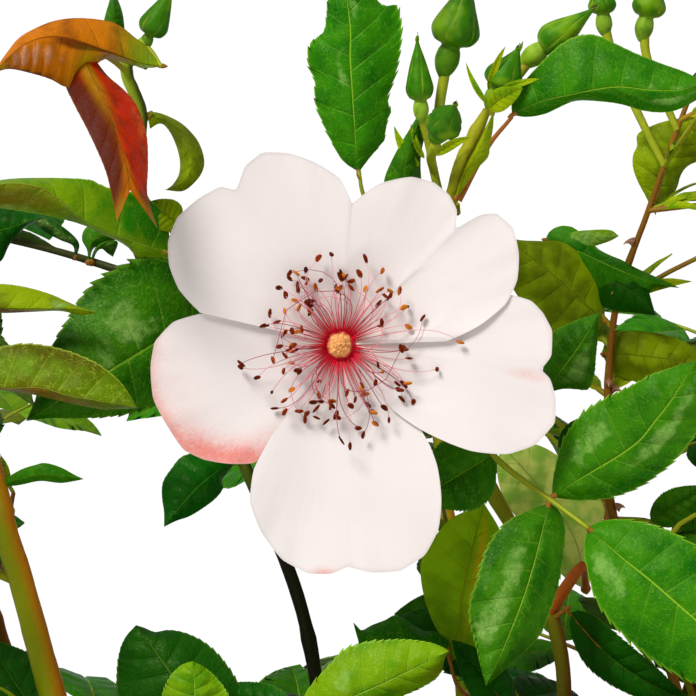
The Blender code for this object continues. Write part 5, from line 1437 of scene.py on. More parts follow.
# Where the picture shows the end of a stem exactly: its points, and its radius or radii in mm
drawnEnds = {
    "shoot": ([(168, 246, 19), (152, 216, 17), (139, 190, 13), (137, 160, 9), (140, 132, 5), (141, 112, 4),
               (134, 92, 3), (127, 74, 3), (129, 58, 2), (146, 42, 1)], 1.2),
    "buds": ([(451, 300, 17), (450, 262, 13), (449, 228, 10.5), (451, 202, 9), (456, 180, 8), (463, 158, 8),
              (470, 145, 8), (478, 128, 8), (487, 110, 8)], [*[1.3] * 7, 1.15, 0.8]),
    "left": ([(66, 745, -2), (53, 696, -2), (39, 648, -2), (21, 581, -2), (3, 520, -2), (-6, 480, -2),
              (-30, 385, 0), (-62, 290, 4), (-84, 200, 8)], [2.5, 2.5, 2.45, 2.35, 2.2, 2.1, 1.9, 1.6, 1.3]),
}


def caneFinish(name, tone):
    finish = Finish("bark_" + name, {"Specular IOR Level": 0.2, "Specular Tint": (1.0, 0.86, 0.5, 1.0)})
    place = finish.place()
    age = place.out("Z")
    fleck = finish.noise(260, 4.0, 0.65, finish.stretched(1, 1, 0.18))
    facing = finish.node("ShaderNodeNewGeometry", {}, {}, "Normal")
    toRight = finish.node("ShaderNodeSeparateXYZ", {}, {"Vector": facing})
    flush = finish.rise(toRight + finish.noise(60, 2.0) * 0.8 - 0.4, -0.1, 0.9)
    youth = finish.rise(age, *tone.get("ages", (0.55, 0.85)))
    colour = finish.mix(youth, tone["old"], tone["young"])
    flush = flush * (0.85 - finish.rise(age, 0.6, 0.85) * tone.get("fading", 0))
    colour = finish.mix(flush, colour, tone["flush"])
    colour = finish.mix(finish.rise(fleck, 0.58, 0.76) * tone.get("fleck", 0.12), colour, (168, 158, 112))
    finish.feed("Base Color", finish.vary(colour, 0.5, 0.8 + fleck * 0.4))
    finish.feed("Roughness", 0.62 - age * 0.2 + fleck * 0.1)
    finish.relief(fleck + finish.noise(900, 2.0) * 0.4, 0.35 * mm)
    return finish


def caneTube(heap, cane, slim, end, draw):
    # The whole cane as one round stem, swollen where leaves come off it, with low ridges
    form = caneForm
    line, radii = [p.copy() for p in cane["line"]], cane["radii"]
    if end:
        points, radius = end[0], np.array(end[1])
        tip = [seen(*p) for p in points]
        kept = min(range(len(line)), key=lambda k: (line[k] - tip[0]).length)
        line, radii = [*line[:kept], *tip], [*radii[:kept], *(radius * mm * np.ones(len(tip)))]
    line = smooth(line, form["steps"])
    share = np.linspace(0, 1, len(line))
    radii = np.interp(share, np.linspace(0, 1, len(radii)), radii) * (1 - slim * share)
    lengths = np.cumsum([0, *[(b - a).length for a, b in zip(line, line[1:])]])
    swelling = form["swell"] * np.exp(-((((lengths / form["nodeEvery"]) % 1) - 0.5) / 0.09) ** 2)
    ridges = draw.normal(0, form["relief"], (len(line), form["sides"]))
    ridges = (ridges + np.roll(ridges, 1, 0) + np.roll(ridges, -1, 0)) / 2
    start = len(heap.places)
    roundTube(heap, line, radii, form["sides"], 0.5, swelling[:, None] * (radii[:, None] < 2.2 * mm) + ridges)
    travelled = heap.places[start][:, 1]
    heap.places[start][:, 2] = np.clip(travelled / travelled.max() * 1.15, 0, 1)


def prickles(heap, cane, draw):
    # Small hooked prickles, pointing down the cane
    form, line = caneForm, cane["line"]
    ways = tangents(line)
    for k in range(1, len(line) - 2):
        for _ in range(2):
            share = draw.random()
            root, way = line[k].lerp(line[k + 1], share), ways[k]
            out = turned(across(way, upward), way, 360 * draw.random())
            foot = root + out * cane["radii"][k] * 0.75
            if inFront([foot]):
                continue
            long = form["prickleLength"] * (0.6 + 0.6 * draw.random())
            spine = [foot, foot + out * long * 0.45, foot + out * long * 0.8 - way * long * 0.2,
                     foot + out * long - way * long * 0.5]
            base = form["prickleBase"]
            roundTube(heap, spine, [base, base * 0.5, base * 0.22, base * 0.04], 5, draw.random())


def prickleFinish():
    finish = Finish("prickle", {"Roughness": 0.4})
    place = finish.place()
    tip = finish.rise(place.out("Y"), 0.0, caneForm["prickleLength"])
    finish.feed("Base Color", finish.mix(tip, (150, 92, 60), (196, 150, 104)))
    finish.relief(finish.noise(1200), 0.1 * mm)
    return finish


def makeCanes(canes):
    draw = np.random.default_rng(11)
    heaps = {tone: Heap() for tone in caneTones}
    names = {tone: [] for tone in caneTones}
    thorns = Heap()
    for name, cane in canes.items():
        tone = caneToneOf.get(name, "green")
        caneTube(heaps[tone], cane, slimmer.get(name, 0), drawnEnds.get(name), draw)
        for line in cane["twigs"]:
            radii = [(1.0 - 0.45 * k / (len(line) - 1)) * mm for k in range(len(line))]
            roundTube(heaps[tone], line, radii, 7, 0.95)
        names[tone] += ["cane_" + name, "foliage_" + name]
        prickles(thorns, cane, draw)
    for tone, heap in heaps.items():
        heap.piece("canes_" + tone, caneFinish(tone, caneTones[tone]), "cane", *names[tone])
    thorns.piece("prickles", prickleFinish(), "cane", *["foliage_" + name for name in canes])


# Buds

budForm = {
    "around": 32, "seam": 0.12, "keel": 0.05, "twist": 22,
    "tailLength": 2.6 * mm, "tailWidth": 0.9 * mm, "stalkRadius": 0.9 * mm,
}
# Where the picture shows the stalk of a bud exactly
drawnBudStalks = {
    ("buds", 0): [(448, 222, 12), (440, 196, 10), (434, 172, 9), (431, 152, 9), (437, 124, 9), (441, 95, 8),
                  (447, 60, 7)],
    ("buds", 1): [(433, 165, 9), (428, 140, 8), (424, 124, 7), (421, 110, 6)],
    ("buds", 2): [(434, 172, 9), (431, 158, 5), (436, 144, 1)],
}
# How pale the hip of a bud is, from 0 to 1
paleHips = {("buds", 0): 0.1, ("buds", 1): 0.9, ("buds", 2): 0.2, ("buds", 3): 0.8, ("buds", 4): 1.0}
# Small leaves among the buds: base, tip, and width in picture points
drawnBracts = [
    ((489, 106, 5), (466, 62, 3), 6), ((489, 98, 4), (540, 79, 2), 9), ((487, 110, 4), (523, 88, 2), 24),
    ((488, 92, 5), (506, 46, 2), 8), ((434, 156, 6), (471, 137, 5), 11), ((425, 160, 9), (411, 123, 8), 7),
    ((420, 168, 10), (394, 126, 9), 10),
]


def budShell(heap, bud, pale, draw):
    # A smooth hip below, and above it five closed sepals that meet in seams
    form = budForm
    foot, tip = bud["stalk"][-1], bud["tip"]
    length, way = (tip - foot).length, (tip - foot).normalized()
    hip, wide = bud["widths"][0] / 2, bud["widths"][1] / 2
    neck = hip * 1.3
    profile = [
        (-hip * 1.5, 0.3 * hip), (-hip * 0.9, hip * 0.74), (-hip * 0.1, hip), (hip * 0.7, hip * 0.93),
        (hip * 1.2, hip * 0.8), (neck + length * 0.03, wide * 0.78), (neck + length * 0.14, wide),
        (neck + length * 0.27, wide * 0.9), (length * 0.68, wide * 0.52), (length * 0.86, wide * 0.22),
        (length, wide * 0.03),
    ]
    curve = smooth([Vector((r, h, 0)) for h, r in profile], 4)
    radii, heights = np.array([p.x for p in curve])[:, None], np.array([p.y for p in curve])[:, None]
    rise = np.clip((heights - hip) / (length - hip), 0, 1)
    angles = fullTurn(form["around"])
    twist = np.radians(form["twist"]) * rise * (1 if draw.random() < 0.5 else -1) + draw.random() * 6
    beat = ((angles + twist) / (2 * np.pi) * 5) % 1
    seam, keel = np.minimum(beat, 1 - beat), np.abs(beat - 0.5)
    shaped = np.clip(rise * 8, 0, 1)
    raised = form["keel"] * np.exp(-((keel / 0.08) ** 2)) - form["seam"] * np.exp(-((seam / 0.06) ** 2))
    grown = 1 + shaped * raised
    side = way.orthogonal().normalized()
    ring = roundWays(angles, side, way.cross(side))
    points = array(foot) + heights[..., None] * array(way) + ring * (radii * grown)[..., None]
    heap.grid(points, (seam * 2 * shaped + 1 - shaped, rise, pale), around=True)


def budTails(heap, bud, draw):
    # The leafy ends of the sepals, which stand apart at the tip
    form, tip = budForm, bud["tip"]
    way = (tip - bud["stalk"][-1]).normalized()
    size = bud["widths"][1] / budRule["width"]
    for k in range(5):
        out = turned(way.orthogonal().normalized(), way, 72 * k + 30 * draw.random())
        foot = tip - way * 1.6 * mm * size + out * 0.3 * mm
        ahead = (way + out * draw.uniform(0, 0.16)).normalized()
        end = foot + ahead * form["tailLength"] * size * draw.uniform(0.5, 1.1)
        tail = leaflet(foot, end, out, form["tailWidth"] * size, fold=0.3)
        leafSheet(heap, tail, plainFineness, draw, toothed=False)


def budFinish():
    finish = Finish("sepals", {"Specular IOR Level": 0.25, "Specular Tint": leafSurface["tint"]})
    place = finish.place()
    seam, rise, chance = 1 - finish.rise(place, 0.02, 0.2), place.out("Y"), place.out("Z")
    fleck, broad = finish.noise(500, 3.0), finish.noise(150, 2.0)
    hip = finish.mix(chance, (62, 120, 4), (140, 176, 44))
    green = finish.mix(finish.rise(rise, 0.0, 0.15), hip, (52, 116, 0))
    green = finish.mix(finish.rise(fleck, 0.4, 0.7) * 0.5, green, (22, 72, 0))
    green = finish.mix(finish.rise(broad, 0.48, 0.66) * 0.7, green, (122, 160, 14))
    green = finish.mix(seam * finish.rise(fleck, 0.3, 0.6) * 0.7, green, (150, 168, 40))
    green = finish.mix(finish.rise(rise, 0.9, 1.0), green, (120, 96, 60))
    finish.feed("Base Color", finish.vary(green, 0.5, 0.85 + chance * 0.3))
    finish.feed("Roughness", 0.4 + fleck * 0.2)
    finish.relief(fleck + seam * -0.5, 0.2 * mm)
    return finish


def makeBuds(canes):
    draw = np.random.default_rng(13)
    shells, stalks, tails, bracts = Heap(), Heap(), Heap(), Heap()
    for name, cane in canes.items():
        for number, bud in enumerate(cane["buds"]):
            drawn = drawnBudStalks.get((name, number))
            line = smooth([seen(*p) for p in drawn] if drawn else [p.copy() for p in bud["stalk"]], 5)
            radii = [budForm["stalkRadius"] * (0.85 + 0.35 * k / len(line)) for k in range(len(line))]
            roundTube(stalks, line, radii, 7, draw.random())
            budShell(shells, bud, paleHips.get((name, number), draw.random()), draw)
            budTails(tails, bud, draw)
    for base, tip, wide in drawnBracts:
        roll = draw.uniform(-25, 25)
        bract = leaflet(seen(*base), seen(*tip), -look, wide * pixel, roll, 0.6 * mm)
        leafSheet(bracts, bract, ruleFineness, draw, toothed=False)
    foliage = ["foliage_" + name for name, cane in canes.items() if cane["buds"]]
    shells.piece("buds", budFinish(), "foliage", *foliage)
    stalks.piece("bud_stalks", stalkFinish(0.1), "foliage", *foliage)
    tails.piece("sepal_tips", leafFinish("sepal", leafTones["bright"]), "foliage", *foliage)
    bracts.piece("bracts", leafFinish("bract", leafTones["lime"]), "foliage", *foliage)


# Blooms

petalForm = {
    # Which petals lie over their neighbours: 0 is the front one
    "layer": {"upper_right": 0, "upper_left": 1, "right": 1, "bottom": 2, "left": 3},
    "columns": 110, "rows": 40, "plainColumns": 46, "plainRows": 20,
    "claw": {"bottom": 12}, "step": 0.55 * mm, "root": 5,
    "ripple": 0.35 * mm, "edgeRipple": 0.12 * mm, "hollow": 0.8 * mm,
}
# Places of the blush, as (petal, degrees, distance in picture points, spread in degrees and points, strength)
blushes = [
    ("left", 236, 152, 13, 18, 1.25), ("left", 225, 174, 13, 15, 1.1), ("left", 212, 192, 11, 11, 0.75),
    ("left", 196, 198, 12, 10, 0.55), ("left", 176, 190, 12, 12, 0.45), ("left", 200, 170, 28, 38, 0.24),
    ("left", 232, 120, 9, 28, 0.35), ("bottom", -94, 230, 3.5, 8, 0.8), ("bottom", -80, 232, 6, 6, 0.2),
    ("right", -9, 190, 2.2, 26, 0.42), ("right", -27, 222, 6, 8, 0.25), ("right", 3, 212, 6, 7, 0.3),
    ("right", -44, 120, 6, 30, 0.12), ("upper_left", 163, 176, 7, 10, 0.2),
    ("upper_right", 30, 206, 10, 7, 0.12),
]


def edgeOf(outline, angles):
    # The petal's edge at each angle, rounded a little so that its corners are soft
    degrees, far = zip(*outline)
    fine = np.linspace(degrees[0], degrees[-1], 400)
    edge = np.interp(fine, degrees, far)
    window = np.hanning(11)
    padded = np.pad(edge, 5, mode="edge")
    edge = np.convolve(padded, window / window.sum(), "valid")
    return np.interp(angles, fine, edge)


def blushOf(name, angles, radius):
    total = 0 * radius
    for petal, degrees, far, wide, deep, strength in blushes:
        if petal == name:
            near = ((angles - degrees) / wide) ** 2 + ((radius - far) / deep) ** 2
            total = total + strength * np.exp(-near)
    return np.clip(total, 0, 1)


def petalSheet(heap, bloom, name, columns, rows, seed):
    form, outline = petalForm, petalOutlines[name]
    draw = np.random.default_rng(seed)
    first, last = outline[0][0], outline[-1][0]
    share = np.linspace(0, 1, rows)[:, None] ** 0.85
    narrowed = last - form["claw"].get(name, 0) * np.clip(1 - share / 0.36, 0, 1)
    angles = first + (narrowed - first) * np.linspace(0, 1, columns)[None, :]
    edge = edgeOf(outline, angles)
    radius = form["root"] + (edge - form["root"]) * share  # in picture points
    turn = np.radians(angles)
    size = radius * pixel
    across = (angles - first) / (last - first) * 2 - 1
    saucer = size / (bloomWidth / 2)
    lift = bloom["cup"] * (1.5 * saucer - 0.5 * saucer**2)
    lift = lift + (3 - form["layer"][name]) * form["step"] * np.clip(0.15 + share * 1.4, 0, 1)
    swing = np.sin(turn * 5 + seed) * 0.5 + np.sin(turn * 11 + 2.1 * seed) * 0.3
    swing = swing + np.sin(turn * 3 + saucer * 5)
    hollow = form["hollow"] * (1 - across**2) * saucer * (1 - share**3)
    lift = lift + form["ripple"] * swing * saucer**1.5 - hollow
    phases = draw.random(3) * 6
    for k, wave in enumerate((17, 31, 47)):
        lift = lift + form["edgeRipple"] * np.sin(turn * wave + phases[k]) * share**6 / (k + 1)
    way = roundWays(turn, bloom["right"], bloom["top"])
    points = array(bloom["centre"]) + way * size[..., None] + array(bloom["axis"]) * lift[..., None]
    heap.grid(points, (turn, share, blushOf(name, angles, radius)), flip=True)


def petalFinish():
    finish = Finish("petal", {"Roughness": 0.55, "Specular IOR Level": 0.25, "Sheen Weight": 0.15})
    place = finish.place()
    share, blush = place.out("Y"), place.out("Z")
    fan = finish.node("ShaderNodeCombineXYZ", {}, {"X": place * 26, "Y": share * 1.6})
    vein = finish.noise(2.2, 3.0, 0.6, fan)
    cloud = finish.noise(70, 3.0, 0.5)
    grain = finish.noise(1400, 2.0)
    white = finish.mix(finish.rise(share, 0.0, 0.4), (234, 228, 214), (235, 225, 221))
    white = finish.mix(finish.rise(cloud, 0.35, 0.7) * 0.35, white, (226, 215, 211))
    white = finish.mix(finish.rise(vein, 0.45, 0.7) * 0.08, white, (222, 204, 202))
    fine = finish.noise(9.0, 2.0, 0.5, fan)
    streaked = blush * (0.1 + fine * 0.9 + grain * 0.6)
    colour = finish.mix(finish.rise(streaked, 0.02, 0.95), white, (230, 134, 122))
    # A thin grey line along the petal's outer edge is painted shade
    colour = finish.mix(finish.rise(share, 0.975, 1.0) * 0.35, colour, (196, 184, 178))
    finish.feed("Base Color", colour)
    finish.relief(vein * 0.2 + grain * 0.1 + cloud * 0.8, 0.14 * mm)
    return finish


stamenForm = {
    "count": 122, "plainCount": 70, "innerRadius": 2.5 * mm, "spread": (36, 94),
    # Those that reach furthest: (degrees, distance in picture points)
    "outliers": [(14, 120), (186, 100), (200, 102), (-83, 101), (-93, 95), (-26, 100), (122, 82)],
    "filament": 0.085 * mm, "anther": (0.9, 0.48, 0.36), "hooked": 0.16,  # share of filaments that hook over
    # Radius, height, foot, unevenness, and 1 for the column or 0 for the ring
    "column": (2.4 * mm, 3.6 * mm, 0.5 * mm, 0.16, 1.0), "ring": (3.9 * mm, 1.8 * mm, -1.2 * mm, 0.03, 0.0),
}


def bloomFrame(bloom):
    return [array(bloom[key]) for key in ("centre", "right", "top", "axis")]


def stamens(filaments, anthers, bloom, count, seed):
    form = stamenForm
    draw = np.random.default_rng(seed)
    centre, right, top, axis = bloomFrame(bloom)
    for k in range(count):
        start = 2 * np.pi * (k + draw.uniform(-0.4, 0.4)) / count
        low, high = form["spread"]
        reach = (low + (high - low) * draw.beta(1.8, 1.7)) * pixel
        if k < len(form["outliers"]):
            start, reach = math.radians(form["outliers"][k][0]), form["outliers"][k][1] * pixel
        t = np.linspace(0, 1, 12)
        hooked = draw.random() < form["hooked"] and k >= len(form["outliers"])
        hook = draw.normal(0, 0.9 if hooked else 0.1)
        angle = start + draw.normal(0, 0.16) * t**2 + hook * t**5
        out = form["innerRadius"] + (reach - form["innerRadius"]) * t**0.95
        peak = draw.uniform(3.0, 6.5) * mm
        lift = 0.9 * mm + peak * np.sin(t * draw.uniform(1.5, 2.5))
        points = centre + roundWays(angle, right, top) * out[:, None] + np.outer(lift, axis)
        line = [Vector(p) for p in points]
        start = len(filaments.places)
        roundTube(filaments, line, [form["filament"] * (1.35 - 0.5 * s) for s in t], 4, draw.random())
        filaments.places[start][:, 1] = np.append(np.repeat(t, 4), 1) * reach / (15 * mm)
        anther(anthers, line[-1], (line[-1] - line[-2]).normalized(), draw)


def anther(heap, place, way, draw):
    # Two plump lobes side by side, like a coffee bean
    form = stamenForm
    long, wide, deep = (s * mm * draw.uniform(0.8, 1.15) for s in form["anther"])
    way = (way + Vector(draw.normal(0, 0.55, 3))).normalized()
    side = across(way, Vector(draw.normal(0, 1, 3)))
    top = way.cross(side)
    rows, columns = 6, 8
    a = np.linspace(0, np.pi, rows)[:, None]
    b = fullTurn(columns)
    cleft = 1 - 0.3 * np.abs(np.sin(b)) ** 6
    x, y, z = long * np.cos(a) + 0 * b, wide * np.sin(a) * np.cos(b), deep * np.sin(a) * np.sin(b) * cleft
    bend = 0.25 * wide * (1 - (x / long) ** 2)
    points = array(place) + x[..., None] * array(way) + (y + bend)[..., None] * array(side)
    points = points + z[..., None] * array(top)
    heap.grid(points, (np.abs(np.cos(b)), np.sin(a), draw.random()), around=True, flip=True)


def stigmas(heap, bloom, seed):
    # The knobbly column in the middle, over a smooth red ring
    form = stamenForm
    draw = np.random.default_rng(seed)
    centre, right, top, axis = bloomFrame(bloom)
    rows, columns = 22, 40
    for radius, height, low, bumpy, kind in form["column"], form["ring"]:
        a = np.linspace(0, np.pi / 2, rows)[:, None]
        b = fullTurn(columns)
        knob = np.sin(b * 7 + 3 * np.sin(a * 5)) * np.sin(a * 13 + 2 * np.sin(b * 3))
        knob = knob * 0.6 + draw.normal(0, 0.45, (rows, columns)) * 0.6
        grown = 1 + bumpy * knob * np.clip(a / 0.3 + 0.3, 0, 1)
        out, lift = radius * np.sin(a) ** 0.8 * grown, low + (height - low) * np.cos(a) * grown
        points = centre + roundWays(b, right, top) * out[..., None] + axis * lift[..., None]
        heap.grid(points, (np.sin(a), knob, kind), around=True, flip=True)


def filamentFinish():
    finish = Finish("filament", {"Roughness": 0.4, "Specular IOR Level": 0.3})
    place = finish.place()
    reach = place.out("Y")
    pale = finish.mix(finish.rise(reach, 0.3, 1.0), (238, 120, 134), (230, 170, 178))
    pale = finish.mix(finish.rise(place.out("Z"), 0.64, 0.7), pale, (150, 62, 74))
    colour = finish.mix(1 - finish.rise(reach, 0.05, 0.36), pale, (224, 20, 52))
    finish.feed("Base Color", finish.vary(colour, 0.5, 0.88 + place.out("Z") * 0.2))
    return finish


def antherFinish():
    same = {"Roughness": 0.75, "Specular IOR Level": 0.12, "Specular Tint": (1.0, 0.6, 0.3, 1.0)}
    finish = Finish("anther", same)
    place = finish.place()
    dust = finish.noise(2600, 3.0)
    ripe = finish.rise(place.out("Z") + dust * 0.3 + place * 0.25, 0.9, 1.3)
    dark = finish.mix(finish.rise(dust + place.out("Z") * 0.4, 0.5, 0.9), (78, 14, 2), (150, 50, 10))
    finish.feed("Base Color", finish.mix(ripe, dark, (216, 126, 36)))
    finish.relief(dust, 0.12 * mm)
    return finish


def stigmaFinish():
    finish = Finish("stigmas", {"Roughness": 0.5, "Specular IOR Level": 0.4})
    place = finish.place()
    knob, isColumn = place.out("Y"), place.out("Z")
    dot = finish.rise(finish.noise(1300, 2.0), 0.62, 0.72)
    column = finish.mix(finish.rise(place, 0.75, 1.0), (252, 180, 106), (222, 104, 64))
    column = finish.mix(dot * 0.7, column, (160, 40, 30))
    ring = finish.mix(finish.noise(900, 2.0), (226, 20, 54), (184, 8, 36))
    finish.feed("Base Color", finish.mix(isColumn, ring, column))
    finish.relief(knob * 0.3 + finish.noise(1800, 2.0), 0.25 * mm)
    return finish


sepalForm = {"length": 21 * mm, "width": 6.5 * mm, "hip": 3.5 * mm, "hipLength": 8.5 * mm}


def bloomBack(hips, sepals, bloom, seed):
    # Behind the petals: a hip on its stalk and five leafy sepals
    form = sepalForm
    draw = np.random.default_rng(seed)
    centre, axis = bloom["centre"], bloom["axis"]
    foot = centre - axis * form["hipLength"]
    profile = [(0, 0.5), (0.12, 0.75), (0.35, 1.0), (0.62, 0.98), (0.85, 0.72), (1.0, 0.9)]
    line = smooth([foot + axis * h * form["hipLength"] for h, _ in profile], 3)
    radii = np.interp(np.linspace(0, 5, len(line)), range(6), [r * form["hip"] for _, r in profile])
    roundTube(hips, line, radii, 14, draw.random())
    for k in range(5):
        out = turned(bloom["right"], axis, 72 * k + 36 + draw.uniform(-6, 6))
        base = centre - axis * 0.9 * mm + out * 1.2 * mm
        slope = bloom["cup"] / (bloomWidth / 2)
        way = (out + axis * (slope * 1.2 - 0.12)).normalized()
        end = base + way * form["length"] * draw.uniform(0.85, 1.05)
        sepal = leaflet(base, end, axis, form["width"], arch=-0.03, fold=0.05)
        leafSheet(sepals, sepal, ruleFineness, draw, toothed=False)


def pedicels(stalks, canes, blooms):
    # The stalk of the front bloom forks off the shoot; the others stand on the tips of their canes
    front = blooms[0]
    back = front["centre"] - front["axis"] * sepalForm["hipLength"]
    fork = nearest(canes["shoot"]["line"], seen(226, 420, 20))
    ends = [back - front["axis"] * 3 * mm, back + front["axis"] * mm]
    line = smooth([fork, seen(252, 398, 23), seen(300, 362, 20), *ends], 6)
    roundTube(stalks, line, np.linspace(1.2, 1.5, len(line)) * mm, 10, 0.4)
    for name, bloom in zip(otherBlooms, blooms[1:]):
        tip = canes[name]["line"][-1]
        back = bloom["centre"] - bloom["axis"] * sepalForm["hipLength"]
        root = canes[name]["line"][-2].lerp(tip, 0.8)
        line = smooth([root, tip.lerp(back, 0.5), back + bloom["axis"] * mm], 5)
        roundTube(stalks, line, np.linspace(1.1, 1.4, len(line)) * mm, 8, 0.4)


def makeBlooms(canes, blooms):
    filaments, anthers, columns, hips, sepals, stalks = (Heap() for _ in range(6))
    petal = petalFinish()
    for k, bloom in enumerate(blooms):
        shown = k == 0
        heap, form = Heap(), petalForm
        steps = (form["columns"], form["rows"]) if shown else (form["plainColumns"], form["plainRows"])
        for number, name in enumerate(petalOutlines):
            petalSheet(heap, bloom, name, *steps, 200 + 10 * k + number)
        heap.piece(bloom["name"] + "_petals", petal, "petals", bloom["name"])
        stamens(filaments, anthers, bloom, stamenForm["count" if shown else "plainCount"], 300 + k)
        stigmas(columns, bloom, 320 + k)
        bloomBack(hips, sepals, bloom, 340 + k)
    pedicels(stalks, canes, blooms)
    names = [bloom["name"] for bloom in blooms]
    filaments.piece("filaments", filamentFinish(), "petals", *names)
    anthers.piece("anthers", antherFinish(), "petals", *names)
    columns.piece("stigmas", stigmaFinish(), "petals", *names)
    hips.piece("bloom_hips", stalkFinish(0.1), "foliage", *names)
    sepals.piece("bloom_sepals", leafFinish("bloom_sepal", leafTones["bright"]), "foliage", *names)
    stalks.piece("bloom_stalks", stalkFinish(0.3), "foliage", *names)


# Pot and soil

potForm = {"around": 128, "wobble": 0.18 * mm, "throwing": 0.1 * mm}


def potInner(height):
    share = (height - pot["floor"]) / (pot["height"] - pot["floor"])
    return pot["footRadius"] - pot["wall"] + share * (pot["mouthRadius"] - pot["footRadius"])


def potProfile():
    # From the middle of the underside, up the outside, over the rim and down the inside
    rimLow, top, rim = pot["height"] - pot["rimHeight"], pot["height"], pot["mouthRadius"] + pot["rimStep"]
    foot = pot["footRadius"]
    bodyTop = foot + (pot["mouthRadius"] - foot) * rimLow / pot["height"]
    return [
        (0.0, 0.0), (foot - 14 * mm, 0.0), (foot - 2 * mm, 0.0), (foot - 0.6 * mm, 0.6 * mm), (foot, 2 * mm),
        (foot + (bodyTop - foot) * 0.5, rimLow * 0.5), (bodyTop, rimLow), (rim - 2.6 * mm, rimLow + 0.4 * mm),
        (rim - 1.2 * mm, rimLow + 1.8 * mm), (rim - 0.6 * mm, rimLow + 4 * mm), (rim, top - 4 * mm),
        (rim - 0.5 * mm, top - 1.6 * mm), (rim - 2.5 * mm, top), (potInner(top) + 2 * mm, top),
        (potInner(top) + 0.5 * mm, top - 0.6 * mm), (potInner(top), top - 2.5 * mm),
        (potInner(top * 0.5), top * 0.5), (potInner(pot["floor"]), pot["floor"]), (0.0, pot["floor"]),
    ]


def ringed(radius, turn, height):
    return np.stack(np.broadcast_arrays(radius * np.cos(turn), radius * np.sin(turn), height), -1)


def makePot():
    form, profile = potForm, potProfile()
    outline = []
    for (r0, z0), (r1, z1) in zip(profile, profile[1:]):
        steps = max(1, round(math.hypot(r1 - r0, z1 - z0) / (2.8 * mm)))
        outline += [(r0 + (r1 - r0) * k / steps, z0 + (z1 - z0) * k / steps) for k in range(steps)]
    outline.append(profile[-1])
    r, z = (np.array(column)[:, None] for column in zip(*outline))
    turn = fullTurn(form["around"])
    rings = form["throwing"] * (np.sin(z * 1900 + 1.3 * np.sin(z * 410)) * 0.6 + np.sin(z * 3300) * 0.4)
    wobble = form["wobble"] * (np.sin(2 * turn + 40 * z) + 0.5 * np.sin(3 * turn - 25 * z))
    grown = np.where(r > 8 * mm, rings + wobble, 0) * ((z > 1 * mm) & (z < pot["height"] - 1 * mm))
    radius = np.maximum(r + grown, 0.02 * mm)
    heap = Heap()
    heap.grid(ringed(radius, turn, z), (turn, z, 0.5), around=True, flip=True)
    drill(heap.piece("pot_clay", clayFinish(), "terracotta", "pot"))


def drill(clay):
    # Cuts the drain holes with one hidden cylinder each, then leaves only the cut mesh
    for k in range(pot["drainHoles"]):
        turn = math.tau * k / pot["drainHoles"]
        at = (pot["drainRing"] * math.cos(turn), pot["drainRing"] * math.sin(turn), pot["floor"] / 2)
        long = 4 * pot["floor"]
        bpy.ops.mesh.primitive_cylinder_add(vertices=40, radius=pot["drainRadius"], depth=long, location=at)
        cutter = bpy.context.object
        hole = clay.modifiers.new("drain", "BOOLEAN")
        hole.operation, hole.object, hole.solver = "DIFFERENCE", cutter, "EXACT"
        whole = bpy.data.meshes.new_from_object(clay.evaluated_get(bpy.context.evaluated_depsgraph_get()))
        clay.modifiers.clear()
        clay.data = whole
        bpy.data.objects.remove(cutter)
    clay.data.set_sharp_from_angle(angle=math.radians(40))


def clayFinish():
    finish = Finish("terracotta", {"Specular IOR Level": 0.25})
    height = finish.node("ShaderNodeSeparateXYZ", {}, {"Vector": finish.where()}, "Z")
    cloud = finish.noise(22, 4.0, 0.6)
    grain = finish.noise(900, 3.0, 0.6)
    grit = finish.rise(finish.noise(420, 2.0, 0.7), 0.63, 0.7)
    lines = finish.noise(6, 3.0, 0.6, finish.stretched(2, 2, 120))
    clay = finish.mix(cloud, (196, 112, 74), (172, 88, 56))
    clay = finish.mix(finish.rise(lines, 0.45, 0.7) * 0.35, clay, (208, 132, 94))
    damp = (1 - finish.rise(height + cloud * 0.03, 0.012, 0.05)) * 0.45
    clay = finish.mix(damp, clay, (122, 62, 42))
    bloomed = finish.rise(finish.noise(34, 5.0, 0.7) + finish.rise(height, 0.02, 0.12) * 0.12, 0.6, 0.78)
    clay = finish.mix(bloomed * 0.42, clay, (224, 204, 184))
    clay = finish.mix(grit * 0.35, clay, (120, 66, 46))
    finish.feed("Base Color", clay)
    finish.feed("Roughness", 0.78 + bloomed * 0.14 - damp * 0.2)
    finish.relief(grain * 0.5 + lines * 0.6 + grit * -0.4, 0.35 * mm)
    return finish


soilForm = {"around": 120, "rings": 30, "rough": 0.9 * mm, "skirt": 20 * mm,
            "crumbs": 780, "chips": 120, "grains": 80}


